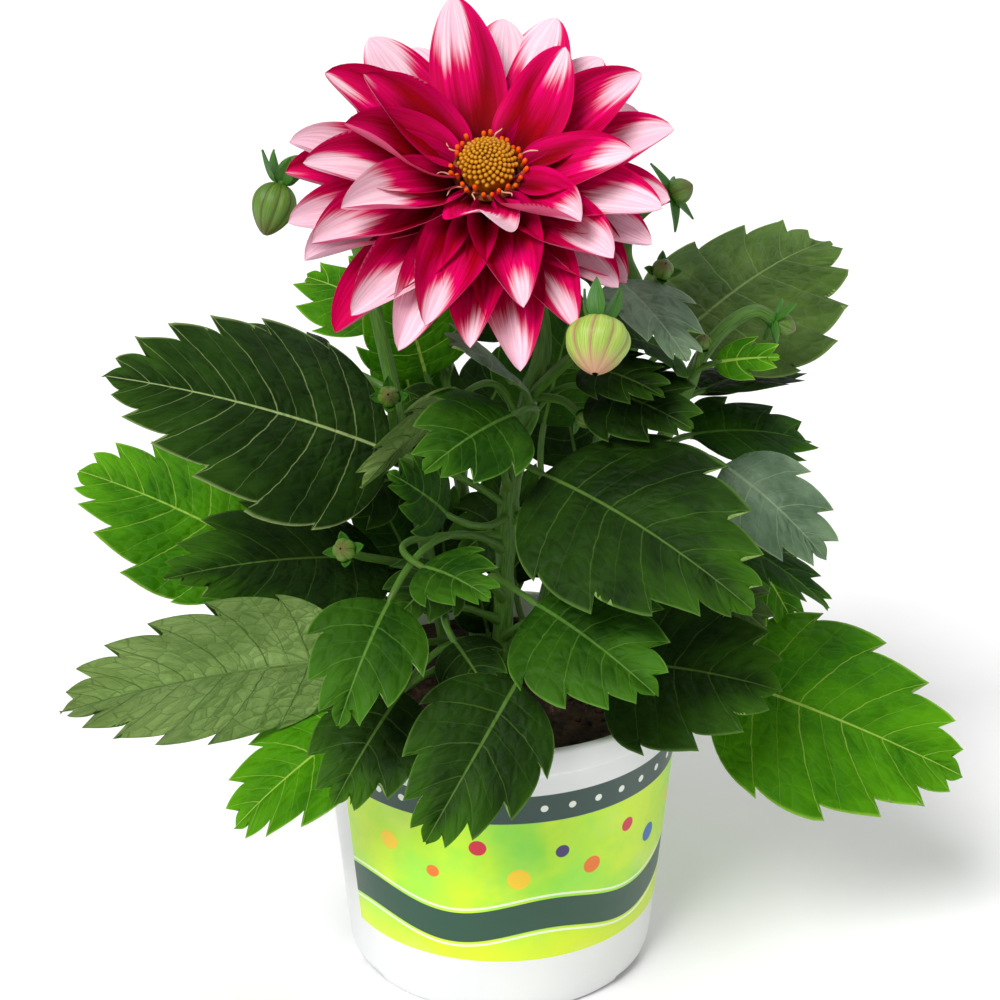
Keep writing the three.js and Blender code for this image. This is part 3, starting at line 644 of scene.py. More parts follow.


# Leaves: the shoot and height where the stalk leaves, where the blade starts and ends, its width, the
# way its upper side faces, its hump, its fold in degrees and its kind.
# A kind's colours partly paint light and shade: dark for leaves in the plant's shade, bright for leaves in
# the light, blue for a painted bluish sheen.
LEAVES = {
    "leaf_left_upper": ("main", 160, (-33, -22, 186), (-117, -42, 218), 70, (-1, -6, 8), 5, 0, "cream"),
    "leaf_left_bright": ("left", 118, (-75, 8, 137), (-138, 22, 162), 60, (0, -5, 9), 4, 0, "bright"),
    "leaf_left_middle": ("left", 124, (-37, -6, 143), (-103, -40, 151), 54, (0, -4, 9), 4, 6, "dark"),
    "leaf_left_pale": ("left", 108, (-46, -42, 126), (-132, -70, 121), 62, (0, 9, 3), 4, 5, "dark"),
    "leaf_front_left": ("main", 144, (-33, -64, 155), (-47, -92, 128), 34, (0, -7, 7), 5, 6, "mid"),
    "leaf_front_small": ("main", 150, (-23, -61, 165), (-3, -80, 163), 24, (0, -5, 9), 2, 6, "mid"),
    "leaf_low_left_bright": ("left", 98, (-40, -40, 105), (-83, -54, 72), 46, (0, -3, 9), 3, 6, "bright"),
    "leaf_low_left_dark": ("main", 106, (-30, -52, 119), (-50, -78, 94), 38, (0, -6, 8), 3, 6, "dark"),
    "leaf_front_low": ("main", 112, (5, -68, 130), (-22, -97, 92), 42, (1, -8, 6), 3, 6, "dark"),
    "leaf_front_centre": ("main", 126, (11, -60, 152), (45, -92, 138), 48, (0, -7, 7), 4, 6, "mid"),
    "leaf_right_dark": ("main", 100, (34, -32, 119), (86, -52, 119), 62, (0, -6, 8), 4, 6, "dark"),
    "leaf_right_bright": ("right", 101, (70, -6, 102), (150, -22, 73), 68, (0, -7, 7), 5, 0, "bright"),
    "leaf_centre_large": ("main", 166, (13, -45, 188), (72, -92, 165), 64, (0, -6, 8), 6, 5, "dark"),
    "leaf_centre_left": ("main", 182, (4, -42, 206), (-22, -66, 197), 35, (0, -6, 8), 3, 6, "mid"),
    "leaf_left_folded": ("main", 186, (-11, -34, 210), (-41, -53, 187), 26, (-6, 6, 5), 2, 8, "dark"),
    "leaf_under_flower": ("main", 196, (4, -36, 215), (-14, -62, 234), 28, (0, -5, 9), 2, 6, "blue"),
    "leaf_back_right_large": (
        "back_right", 150, (58, 22, 209), (110, 70, 226), 66, (1, -4, 9), 6, -12, "grey"),
    "leaf_right_folded": (
        "back_right", 212, (36, -15, 239), (55, -43, 223), 29, (4, -5, 8), 2, 8, "blue"),
    "leaf_right_inner": ("right", 186, (52, -13, 215), (30, -36, 228), 34, (0, -4, 9), 2, 6, "mid"),
    "leaf_right_middle": ("main", 178, (29, -24, 208), (57, -44, 202), 34, (0, -5, 9), 2, 6, "dark"),
    "leaf_right_curled": ("main", 206, (25, -27, 216), (48, -46, 213), 22, (0, -5, 9), 2, 6, "dark"),
    "leaf_right_upper_small": ("right", 168, (62, 12, 179), (102, 30, 169), 38, (0, -3, 9), 3, 6, "mid"),
    "leaf_right_middle_small": (
        "right", 158, (71, -5, 175), (102, -22, 150), 34, (0, -5, 8), 3, 6, "blue"),
    "leaf_right_edge": ("right", 140, (74, -10, 151), (104, -20, 132), 24, (2, -1, 9), 2, 6, "mid"),
    "leaf_right_lower_small": (
        "right", 122, (80, 14, 140), (97, 12, 112), 26, (3, -8, 5), 2, 6, "bright"),
    "leaf_right_pale": ("right", 110, (62, 2, 132), (86, -6, 118), 28, (0, -5, 9), 2, 6, "grey"),
    "leaf_back_left_pale": ("rear", 190, (-34, 34, 211), (-64, 55, 218), 38, (0, -5, 9), 2, 6, "bright"),
    "leaf_inner_left": ("main", 158, (-16, -38, 172), (-33, -54, 192), 22, (0, -7, 6), 2, 6, "mid"),
    "leaf_inner_front": ("main", 118, (-14, -50, 135), (-2, -70, 125), 20, (0, -7, 6), 2, 6, "dark"),
    "leaf_rear_upper": ("rear", 190, (-12, 62, 206), (-4, 108, 188), 50, (0, 5, 9), 4, 6, "dark"),
    "leaf_rear_left": ("rear", 140, (-44, 52, 150), (-92, 84, 140), 56, (-3, 4, 9), 4, 6, "mid"),
    "leaf_rear_right": ("back_right", 110, (42, 52, 140), (78, 96, 126), 58, (3, 4, 9), 4, 6, "dark"),
    "leaf_rear_low": ("rear", 104, (-10, 62, 116), (-18, 118, 96), 52, (0, 4, 9), 4, 6, "mid"),
}

# The smaller leaves that are one piece with their stem. The many dark ones deep inside the plant carry
# painted shade for its shaded interior.
STEM_LEAVES = {
    "main_stem": [
        ("main", 174, (-8, -24, 194), (-16, -44, 189), 18, (0, -6, 7), 2, 6, "mid"),
        ("main", 131, (-16, -24, 147), (-32, -42, 139), 24, (0, -6, 7), 2, 6, "dark"),
        ("main", 152, (16, -28, 168), (24, -58, 164), 28, (0, -5, 8), 2, 6, "dark"),
    ],
    "left_stem": [
        ("left", 196, (-58, 14, 204), (-88, 30, 206), 38, (-3, 3, 9), 3, 6, "dark"),
        ("left", 150, (-42, 24, 160), (-68, 46, 160), 42, (-3, 4, 9), 3, 6, "dark"),
        ("left", 142, (-34, 6, 166), (-56, -2, 160), 28, (0, -6, 7), 2, 6, "dark"),
        ("left", 128, (-29, 10, 134), (-43, 10, 166), 26, (0, -8, 4), 2, 6, "mid"),
    ],
    "right_stem": [
        ("right", 176, (66, 24, 190), (98, 46, 186), 38, (3, 3, 9), 3, 6, "dark"),
        ("right", 96, (27, 3, 109), (49, -9, 98), 31, (0, -7, 6), 2, 6, "dark"),
        ("right", 200, (67, -4, 209), (86, -11, 213), 13, (0, -7, 7), 1, 6, "bright"),
    ],
    "back_right_stem": [
        ("back_right", 178, (50, 38, 184), (78, 64, 176), 40, (3, 4, 9), 3, 6, "dark"),
        ("back_right", 205, (30, 32, 224), (14, 54, 234), 32, (0, 4, 9), 3, 6, "dark"),
        ("back_right", 118, (4, 18, 149), (-13, 13, 136), 28, (0, -7, 6), 2, 6, "dark"),
        ("back_right", 122, (24, 28, 142), (48, 21, 122), 36, (0, -7, 6), 2, 6, "dark"),
        ("back_right", 140, (14, 12, 182), (24, 10, 228), 40, (0, -8, 4), 2, 6, "mid"),
        ("back_right", 100, (5, 25, 120), (3, 27, 170), 28, (0, -8, 4), 2, 6, "dark"),
        ("back_right", 150, (26, 36, 158), (18, 38, 198), 34, (0, -8, 4), 2, 6, "dark"),
    ],
    "rear_stem": [
        ("rear", 160, (-42, 44, 178), (-76, 62, 174), 40, (-2, 3, 9), 3, 6, "dark"),
        ("rear", 222, (-4, 56, 232), (16, 84, 226), 36, (2, 4, 9), 3, 6, "dark"),
        ("rear", 138, (6, 56, 156), (32, 90, 148), 42, (1, 4, 9), 3, 6, "dark"),
        ("rear", 160, (-14, 14, 184), (-32, 12, 178), 28, (0, -7, 6), 2, 6, "dark"),
        ("rear", 165, (-6, 26, 178), (5, 23, 202), 30, (0, -7, 5), 2, 6, "dark"),
        ("rear", 180, (-24, 30, 192), (-33, 24, 230), 36, (0, -8, 4), 2, 6, "bright"),
        ("rear", 196, (-10, 32, 204), (-4, 26, 236), 36, (0, -8, 4), 2, 6, "dark"),
        ("rear", 98, (-4, 8, 110), (-8, 6, 132), 18, (0, -8, 4), 2, 6, "dark"),
        ("rear", 112, (8, 40, 116), (14, 42, 146), 32, (0, -8, 4), 2, 6, "dark"),
        ("rear", 118, (-18, 24, 122), (-20, 22, 158), 26, (0, -8, 4), 2, 6, "dark"),
        ("rear", 114, (-30, 38, 113), (-42, 38, 142), 30, (0, -8, 4), 2, 6, "dark"),
        ("rear", 170, (-29, 40, 177), (-34, 40, 207), 26, (0, -8, 4), 2, 6, "bright"),
        ("rear", 150, (-26, 34, 158), (-30, 33, 186), 26, (0, -8, 4), 2, 6, "dark"),
    ],
}


def blade_outline(share):
    """Half the width of a blade, from 0 to 1: broad near the base and drawn out to the tip."""
    return np.sin(np.pi * np.clip(share, 0, 1) ** 0.68) ** 0.78


TOOTH_STEPS = 10
TOOTH_SPACING = 22
TOOTH_DEPTH = 3.1
NOTCH_SHARE = 0.1
BLADE_SKIN = 0.22
RIB_DEPTH = 1.5
STALK_STEPS = 18
STALK_RADIUS = 1.3
STEM_STEPS = 90


def tooth_rows(teeth):
    """Where a blade's rows fall, in teeth along it, and how far each is along its own tooth."""
    counts, phases = [0.0], [0.0]
    for tooth in range(teeth):
        for step in range(TOOTH_STEPS):
            phase = step / (TOOTH_STEPS - 1)
            counts.append(tooth + mixed(NOTCH_SHARE, 1, phase))
            phases.append(phase)
    return np.array(counts)[:, None], np.array(phases)[:, None]


def add_leaf(body, spec, own, top_slot=0):
    """A leaf with a toothed, quilted blade. Slot 1 is its underside and slot 2 its stalk."""
    shoot, height, base, tip, width, face, arch, fold, _ = spec
    random = np.random.RandomState(own)
    base, tip, face = np.array(base, float), np.array(tip, float), np.array(face, float)
    span = tip - base
    length = np.linalg.norm(span)
    forward = span / length
    normal = unit(face - forward * (face @ forward))
    side = np.cross(normal, forward)
    half_width = width / 2

    teeth = int(round(2.4 + length / TOOTH_SPACING))
    counts, phases = tooth_rows(teeth)
    share = counts / teeth
    across = np.linspace(-1, 1, 21 if width > 30 else 15)[None, :]
    out = np.abs(across)
    margin_share = share + 0.22 * np.sin(np.pi * share)
    half = np.maximum(half_width * blade_outline(margin_share), mixed(1.15, 0.35, share))
    along = share + (margin_share - share) * out**1.25
    sideways = across * half

    # Each tooth bites in behind itself and hooks forward, at the very edge only.
    depth = TOOTH_DEPTH + 0.045 * half_width
    grown = eased(0.04, 0.25, share) * (1 - 0.85 * eased(0.72, 0.97, share))
    uneven = 1 + 0.5 * (random.rand(2, teeth + 1) - 0.5)
    tooth = np.minimum(counts.astype(int), teeth)
    uneven = np.where(across > 0, uneven[0][tooth], uneven[1][tooth])
    bite = (np.sin(phases * np.pi / 2) ** 0.8 - 0.62) * depth * grown * uneven
    sideways = sideways + np.sign(across) * out**5 * bite
    hook = (phases**2.2 - 0.25) * depth * grown * 1.2
    along = along + out**5 * hook / length

    # The skin swells between the side veins, is wavy, and turns down at the edge.
    quilt = np.abs(np.sin(2 * np.pi * counts)) ** 0.7 * out**0.45 * (1 - out**3)
    quilt = quilt * min(1.3, half_width * 0.032) * eased(0.0, 0.15, share) * eased(1.0, 0.8, share)
    wave = np.sin(2 * np.pi * (1.4 * share + random.rand()) + (across > 0) * 2.1)
    wave = wave * out**2 * half_width * 0.055 * eased(0.0, 0.25, share)
    turned_down = 0.13 * out**2.4 * half
    rib_groove = 0.5 * np.exp(-((sideways / 1.6) ** 2)) * (1 - share)
    raised = np.abs(sideways) * math.tan(math.radians(fold + 3))
    lift = arch * 4 * share * (1 - share)
    rise = lift + raised + quilt + wave - turned_down - rib_groove

    middle = base + span * along[..., None] + side * sideways[..., None] + normal * rise[..., None]
    skin = BLADE_SKIN * (1 - out**8)
    rib = RIB_DEPTH * np.exp(-((sideways / 1.1) ** 2)) * np.clip(1 - share, 0, 1) ** 0.7
    upper = middle + normal * skin[..., None]
    lower = middle - normal * (skin + rib)[..., None]
    place = gathered(counts, sideways, length / teeth)
    body.sheet(upper, lower, (top_slot, 1), place, gathered(across, share, own))

    root = point_at_height(shoot, height)
    knee = base - forward * 0.5 * np.linalg.norm(base - root)
    stalk = bent_line(root, knee, base + forward * 3 - normal * 0.5, STALK_STEPS)
    step = np.linspace(0, 1, STALK_STEPS)
    radii = mixed(STALK_RADIUS, 1.0, step) + 0.9 * np.exp(-((step / 0.07) ** 2))
    radii[-1] = 0.2
    body.tube(stalk, radii, 8, 2)


def leaf_materials(kind, paints):
    return [paints["top_" + kind], paints["under"], paints["stalk"]]


def make_leaves(paints):
    for number, (name, spec) in enumerate(LEAVES.items()):
        body = Body()
        add_leaf(body, spec, number + 1)
        kind = spec[-1]
        body.piece(name + "_blade", leaf_materials(kind, paints), [name])


def make_stems(paints):
    """Each stem with its side shoots, swollen where a leaf's stalk leaves it, and its small leaves."""
    small_leaves = [spec for specs in STEM_LEAVES.values() for spec in specs]
    knots = [spec[:2] for spec in [*LEAVES.values(), *small_leaves]]
    kinds = ["dark", "mid", "bright"]
    materials = leaf_materials("dark", paints) + [paints["top_" + kind] for kind in kinds]
    for number, (name, shoots) in enumerate(STEMS.items()):
        body = Body()
        for key in shoots:
            radius, curve = SHOOTS[key]
            centres = curve.many(STEM_STEPS)
            radii = np.full(STEM_STEPS, float(radius))
            for shoot, height in knots:
                if shoot == key:
                    radii += 0.16 * radius * np.exp(-(((centres[:, 2] - height) / 2.6) ** 2))
            radii *= mixed(1.12, 0.94, np.linspace(0, 1, STEM_STEPS))
            body.tube(centres, radii, 14, 2, ridges=5, ridge_depth=0.035)
        for leaf_number, spec in enumerate(STEM_LEAVES[name]):
            add_leaf(body, spec, 60 + number * 10 + leaf_number, 3 + kinds.index(spec[-1]))
        body.piece(name + "_grown", materials, [name])


# Buds


# A bud's shoot, radius, length, bracts, their length and how far they turn from lying back along the
# stem, in degrees, and its colouring.
BUDS = {
    "bud_front": ("front", 9.6, 17, 5, 10, 22, "striped"),
    "bud_left": ("left", 7.2, 16.5, 5, 10, 40, "green"),
    "bud_right_back": ("back_right", 4.2, 7.5, 5, 11, 84, "green"),
    "bud_right_tip": ("right", 4, 8, 4, 9, 105, "green"),
    "bud_right_small": ("right_small", 2.8, 6, 3, 4.5, 130, "green"),
    "bud_back_right_small": ("back_right_small", 3.6, 6.5, 4, 6, 125, "green"),
    "bud_left_small": ("left_small", 3.6, 6, 4, 6.5, 130, "green"),
    "bud_left_low": ("left_low", 3.8, 6, 4, 6.5, 130, "green"),
    "bud_inner_small": ("small_front", 3, 6, 3, 6, 120, "green"),
    "bud_rear": ("rear", 4.5, 8, 4, 7, 110, "green"),
}


def bud_radius(share):
    """The bud's radius from base to apex, from 0 to 1."""
    return np.sin(np.pi * np.clip(share, 0, 1) ** 0.8) ** 0.62 * (1 - 0.12 * share)


def facing(direction):
    """Two directions square to the given one."""
    first = unit(np.cross(direction, [0.2, 0.3, -0.93]))
    return first, np.cross(direction, first)


BUD_STEPS = 22
SCALE_STEPS = 8
BRACT_STEPS = 14
BRACT_COLUMNS = 9
BRACT_SKIN = 0.22


def add_scales(body, end, axes, sizes, striped, number):
    """A bud's ribbed scales about its axis, the third of the axes."""
    first, second, direction = axes
    radius, length = sizes
    scales = 9 if radius > 5 else 5
    share = np.linspace(0, 1, BUD_STEPS)[:, None]
    turn = np.arange(scales * SCALE_STEPS)[None, :] / SCALE_STEPS
    across = (turn % 1) * 2 - 1
    angle = turn * 2 * math.pi / scales + 0.25 * share * striped
    reach = radius * bud_radius(share * 0.985 + 0.004) * (1 - 0.10 * np.abs(across) ** 2.5)
    out = np.cos(angle)[..., None] * first + np.sin(angle)[..., None] * second
    rise = (GAP + length * share)[..., None]
    place = gathered(share, across, np.floor(turn))
    points = end + out * reach[..., None] + direction * rise
    body.patch(points, 0, place, (0, 0, number), wrap=True, flip=True)


def make_buds(paints):
    for number, (name, spec) in enumerate(BUDS.items()):
        shoot, radius, length, bracts, bract_length, spread, kind = spec
        body = Body()
        stem_radius, curve = SHOOTS[shoot]
        end, direction = curve.at(1), curve.end_direction()
        axes = (*facing(direction), direction)
        add_scales(body, end, axes, (radius, length), kind == "striped", number)
        for bract in range(bracts):
            turn = (bract + 0.3) * 2 * math.pi / bracts + 0.4 * number
            add_bract(body, end, axes, turn, (radius, bract_length, spread), number * 10 + bract)
        centres = [end + direction * step for step in (-1.2, 0.2, GAP + 0.6)]
        body.tube(centres, [stem_radius * 0.95, stem_radius * 1.15, radius * 0.3], 12, 1)
        body.piece(name + "_scales", [paints["bud_" + kind], paints["bract"]], [name])


def add_bract(body, end, axes, turn, sizes, own):
    """A small green leaf that starts under the bud and turns back along the stem or over the bud."""
    radius, bract_length, spread = sizes
    first, second, direction = axes
    out = math.cos(turn) * first + math.sin(turn) * second
    side = np.cross(direction, out)
    random = np.random.RandomState(200 + own)
    lean = math.radians(spread + 16 * (random.rand() - 0.5))
    reach = bract_length * (0.85 + 0.3 * random.rand())
    start = end + out * radius * 0.22 + direction * GAP
    far = start + reach * (out * math.sin(lean) - direction * math.cos(lean))
    knee = start + out * (radius * (0.2 + 0.75 * (spread > 100))) - direction * reach * 0.2 * math.cos(lean)
    line = bent_line(start, knee, far, BRACT_STEPS)
    face = np.cross(headings(line), side)[:, None]
    share = np.linspace(0, 1, BRACT_STEPS)[:, None]
    across = np.linspace(-1, 1, BRACT_COLUMNS)[None, :]
    half = bract_length * 0.27 * np.sin(np.pi * (0.16 + 0.835 * share) ** 0.95) ** 0.75
    cup = 0.3 * half * across**2 - 0.25 * np.exp(-((across / 0.12) ** 2))
    middle = line[:, None] + side * (across * half)[..., None] + face * cup[..., None]
    skin = BRACT_SKIN * (1 - across**4)[..., None] * face
    place = gathered(share * 12, across * 1.6, 3.0)
    body.sheet(middle + skin, middle - skin, (1, 1), place, (0, 0, own), flip=True)


# The flower


def whorl_height(index):
    return DISC_BOTTOM - GAP - WHORL_PITCH * (index + 0.5)


# Each whorl: its petals' width, the share of their rise made half-way out, and the petals. A petal is
# its turn in degrees, its reach, its tip's height and how far its white tip reaches down.
WHORLS = {
    "ray_florets_inner": (22, 0.3, [
        (-95, 27, 14, 0.4), (-47, 38, 12, 0.3), (-8, 41, 14, 0.28), (48, 33, 22, 0.22),
        (103, 44, 22, 0.34), (152, 39, 18, 0.12), (176, 40, 16, 0.12), (-151, 46, 12, 0.42)]),
    "ray_florets_second": (24, 0.45, [
        (65, 46, 14, 0.34), (29, 50, 11, 0.3), (-20, 52, 5, 0.4), (-45, 50, 3, 0.34), (-78, 48, -1, 0.26),
        (-108, 56, -3, 0.3), (-150, 57, 2, 0.36), (-175, 52, 8, 0.4), (152, 53, 10, 0.24),
        (134, 50, 11, 0.36), (84, 44, 10, 0.4)]),
    "ray_florets_third": (23, 0.35, [
        (11, 55, 1, 0.44), (-27, 52, -4, 0.5), (-45, 52, -7, 0.4), (-63, 54, -9, 0.3), (-95, 56, -10, 0.25),
        (-114, 61, -9, 0.34), (-129, 61, -7, 0.36), (-162, 60, -4, 0.44), (173, 58, -1, 0.46),
        (140, 52, -1, 0.5), (48, 50, 0, 0.44)]),
    "ray_florets_outer": (25, 0.3, [
        (-81, 60, -15, 0.34), (-133, 64, -14, 0.0), (177, 59, -9, 0.1), (-155, 58, -11, 0.5),
        (136, 54, -7, 0.7), (117, 51, -6, 0.8), (84, 50, -6, 0.8), (54, 51, -6, 0.8), (26, 50, -7, 0.7),
        (-39, 51, -13, 0.3), (-6, 53, -10, 0.4)]),
}


def petal_outline(share):
    """Half a petal's width, from 0 to 1: a narrow claw, full past the middle, then a drawn-out point."""
    claw = 0.34 + 0.66 * np.sin(np.pi / 2 * np.clip(share / 0.6, 0, 1)) ** 1.25
    point = (1 - np.clip((share - 0.55) / 0.45, 0, 1) ** 2.8) ** 0.62
    return claw * point


PETAL_STEPS = 36
PETAL_COLUMNS = 17
PETAL_SKIN = 0.28
WHORL_DISC_HALF = 1.1
FLOWER_SIDES = 40


def petal_line(share, root_height, reach, tip_height, lift):
    """A petal's middle line, as distance out from the flower's axis and height."""
    corners = np.array([
        (PETAL_ROOT_RADIUS, root_height),
        (PETAL_ROOT_RADIUS + 5.5, root_height),
        (max(16, reach * 0.5), mixed(root_height, tip_height, lift)),
        (reach, tip_height),
    ])
    rest = 1 - share
    return np.hstack([rest**3, 3 * share * rest**2, 3 * share**2 * rest, share**3]) @ corners


def add_petal(body, spec, root_height, width, lift, own):
    turn, reach, tip_height, white = spec
    random = np.random.RandomState(400 + own)
    out, side = around(math.radians(turn))
    share = (1 - (1 - np.linspace(0, 1, PETAL_STEPS)) ** 1.25)[:, None]
    across = np.linspace(-1, 1, PETAL_COLUMNS)[None, :]
    line = petal_line(share, root_height, reach, tip_height, lift)
    slope = headings(line)
    radial, height = line[:, :1], line[:, 1:]
    tilt_out, tilt_up = -slope[:, 1:], slope[:, :1]

    half = width / 2 * petal_outline(share)
    cup = mixed(0.95, 0.55, eased(0.0, 0.6, share)) + 0.3 * eased(0.7, 1.0, share)
    cup = cup * (0.75 + 0.5 * random.rand())
    if out[1] > 0.6:
        cup = 0.35 * cup - 0.3 * eased(0.3, 0.8, share)
    if reach < 30:
        cup = 0.5 * cup - 1.1 * eased(0.5, 1.0, share)
    roll = cup * np.abs(across) ** 1.8 * half
    narrowed = across * half * (1 - 0.22 * cup * across**2)
    ridges = 0.20 * np.cos(across * np.pi * 3.4) * (1 - share**3) * half / 9
    wave = np.sin(2 * np.pi * (1.1 * share + random.rand()) + (across > 0) * 2.4)
    wave = wave * np.abs(across) ** 3 * half * 0.07
    tip_curl = (random.rand() - 0.6) * 4.0 * eased(0.7, 1.0, share) ** 1.5
    lifted = roll + ridges + wave + tip_curl
    twist = math.radians(24) * (random.rand() - 0.5) * share
    level = (narrowed * np.cos(twist) - lifted * np.sin(twist))[..., None]
    raised = narrowed * np.sin(twist) + lifted * np.cos(twist)

    middle = out * (radial + tilt_out * raised)[..., None] + side * level
    middle = middle + UP * (height + tilt_up * raised)[..., None]
    normal = out * tilt_out[..., None] + UP * tilt_up[..., None]
    skin = (PETAL_SKIN * (1 - across**6) * (1 - 0.5 * share))[..., None] * normal
    magenta = 0.8 if white < 0.05 and reach > 50 else 0.0
    white_reach = white + 0.06 * (random.rand() - 0.5) if white > 0 else -0.3
    tone = (white_reach, own * 1.37, magenta)
    upper, lower = from_flower(middle + skin), from_flower(middle - skin)
    body.sheet(upper, lower, (0, 1), gathered(share, across, 0), tone)


def flower_turned(body, profile, sides, slot, **ridges):
    """A round body about the flower's axis, from radius and height pairs going up."""
    radii, heights = zip(*profile)
    body.tube(from_flower([[0, 0, height] for height in heights]), radii, sides, slot, **ridges)


def make_whorls(paints):
    for index, (name, (width, lift, petals)) in enumerate(WHORLS.items()):
        body = Body()
        height = whorl_height(index)
        for number, petal in enumerate(petals):
            add_petal(body, petal, height, width, lift, index * 20 + number)
        half, edge = WHORL_DISC_HALF, WHORL_DISC_RADIUS - 0.6
        disc = [(CLOSED, -half), (edge, 0.01 - half), (WHORL_DISC_RADIUS, 0)]
        disc += [(edge, half - 0.01), (CLOSED, half)]
        flower_turned(body, [(radius, height + rise) for radius, rise in disc], FLOWER_SIDES, 1)
        body.piece(name + "_petals", [paints["petal"], paints["petal_back"]], [name])


DOME_RISE = DISC_TOP - 0.2
DOME_POWER = 2.3
FLORET_COUNT = 130
FLORET_SIDES = 7
OPEN_FLORET_COUNT = 26
OPEN_FLORET_SIDES = 8

# The rings of a closed floret: height and radius as shares of its size, and the share up it.
FLORET_RINGS = ((-0.6, 0.8, 0.0), (0.0, 1.0, 0.2), (0.55, 0.85, 0.6), (0.85, 0.5, 0.9), (1.0, 0.02, 1.0))

# Loose styles lying out over the petals: their turn in degrees and their reach.
STYLES = ((20, 8), (195, 6), (222, 7), (250, 4), (300, 4), (150, 5), (75, 4))
STYLE_RADII = (0.3, 0.28, 0.25, 0.25, 0.28, 0.25, 0.22, 0.2, 0.02)


def add_closed_floret(body, number):
    share = (number + 0.5) / FLORET_COUNT
    radius = DISC_RADIUS * 0.985 * math.sqrt(share)
    out, _ = around(number * GOLDEN_TURN)
    height = DISC_TOP - DOME_RISE * (radius / DISC_RADIUS) ** DOME_POWER
    slope = DOME_RISE * DOME_POWER * (radius / DISC_RADIUS) ** (DOME_POWER - 1) / DISC_RADIUS
    normal = unit(out * slope + UP)
    foot = out * radius + UP * height
    heights, radii, rises = np.array(FLORET_RINGS).T
    centres = from_flower(foot + normal * (heights * mixed(0.6, 1.1, share))[:, None])
    own = np.random.RandomState(900 + number).rand()
    tone = gathered(own, rises[:, None], 0)
    body.tube(centres, radii * mixed(0.6, 0.84, share**0.6), FLORET_SIDES, 0, tone)


def add_open_floret(body, number, random):
    """An open floret: its corolla, and the anther tube that stands out of it."""
    out, _ = around((number + 0.5 * (random.rand() - 0.5)) * 2 * math.pi / OPEN_FLORET_COUNT)
    lean = mixed(0.0, 0.45, random.rand())
    tall = mixed(4.2, 7.4, random.rand())
    foot = out * (DISC_RADIUS + 0.9) + UP * (DISC_BOTTOM + 0.6)
    line = unit(UP + out * lean)
    side = np.cross(line, out) * (random.rand() - 0.5) * 0.8
    steps = np.array([0.0, 0.3, 0.5, 0.6, 0.8, 0.95, 1.0])[:, None]
    centres = from_flower(foot + line * tall * steps + side * steps**2)
    tone = (random.rand(), 0.1, 0)
    body.tube(centres[:4], (0.55, 0.6, 0.75, 0.5), OPEN_FLORET_SIDES, 1, tone)
    tone = (random.rand(), 0.6 * random.rand(), 0)
    body.tube(centres[2:], (0.3, 0.55, 0.72, 0.6, 0.05), OPEN_FLORET_SIDES, 0, tone)


def add_style(body, number, degrees, reach):
    out, side = around(math.radians(degrees))
    step = np.linspace(0, 1, len(STYLE_RADII))[:, None]
    line = out * (DISC_RADIUS + 1.0 + reach * step) + side * 0.8 * np.sin(step * 5 + number)
    line = line + UP * (3.0 * step - 1.2 * step**2 - 2.0)
    body.tube(from_flower(line), STYLE_RADII, 6, 2, (0.5, 0.5, 0))


def make_eye(paints):
    """The eye: a dome set with closed florets in a spiral, and open ones with orange anthers about it."""
    body = Body()
    core = [(CLOSED, DISC_BOTTOM - 0.01), (7.4, DISC_BOTTOM), (7.7, -3), (7.2, -0.4), (5.5, 1.6),
            (3, DISC_TOP - 0.9), (CLOSED, DISC_TOP - 0.6)]
    flower_turned(body, core, 32, 0)
    for number in range(FLORET_COUNT):
        add_closed_floret(body, number)
    body.piece("disc_florets_dome", [paints["floret"]], ["disc_florets"])

    body = Body()
    random = np.random.RandomState(77)
    for number in range(OPEN_FLORET_COUNT):
        add_open_floret(body, number, random)
    for number, (degrees, reach) in enumerate(STYLES):
        add_style(body, number, degrees, reach)
    inner, outer, low = DISC_RADIUS + 0.35, DISC_RADIUS + 2.1, DISC_BOTTOM + 0.62
    collar = [(inner, low), (outer, low), (outer, DISC_BOTTOM + 1.6), (inner, DISC_BOTTOM + 1.8)]
    body.patch(from_flower(turned(collar, 48)), 1, wrap=True, flip=True)
    materials = [paints["anther"], paints["corolla"], paints["stigma"]]
    body.piece("anther_ring_florets", materials, ["anther_ring"])


# The two rows of bracts under the petals: how many, their reach, how far their tips drop, their width and
# how far they climb the calyx first.
CALYX_BRACTS = ((8, 14, 1.2, 7.5, CALYX_TOP - CALYX_BOTTOM - 2.6), (5, 11, -5.5, 6, 0))


def add_calyx_bract(body, turn, sizes):
    reach, drop, width, climb = sizes
    out, side = around(turn)
    share = np.linspace(0, 1, BRACT_STEPS)[:, None]
    across = np.linspace(-1, 1, BRACT_COLUMNS)[None, :]
    half = width / 2 * np.sin(np.pi * (0.2 + 0.79 * share)) ** 0.7
    radial = NECK_RADIUS + 1 + (reach - NECK_RADIUS) * share
    low = CALYX_BOTTOM + 2 + climb * eased(0, 0.6, share)
    rise = low + drop * share**1.5 + 0.15 * half * across**2
    middle = out * radial[..., None] + side * (across * half)[..., None] + UP * rise[..., None]
    skin = UP * 0.25 * (1 - across**4)[..., None]
    place = gathered(share * 12, across * 3, 3.0)
    body.sheet(from_flower(middle + skin), from_flower(middle - skin), (0, 0), place)


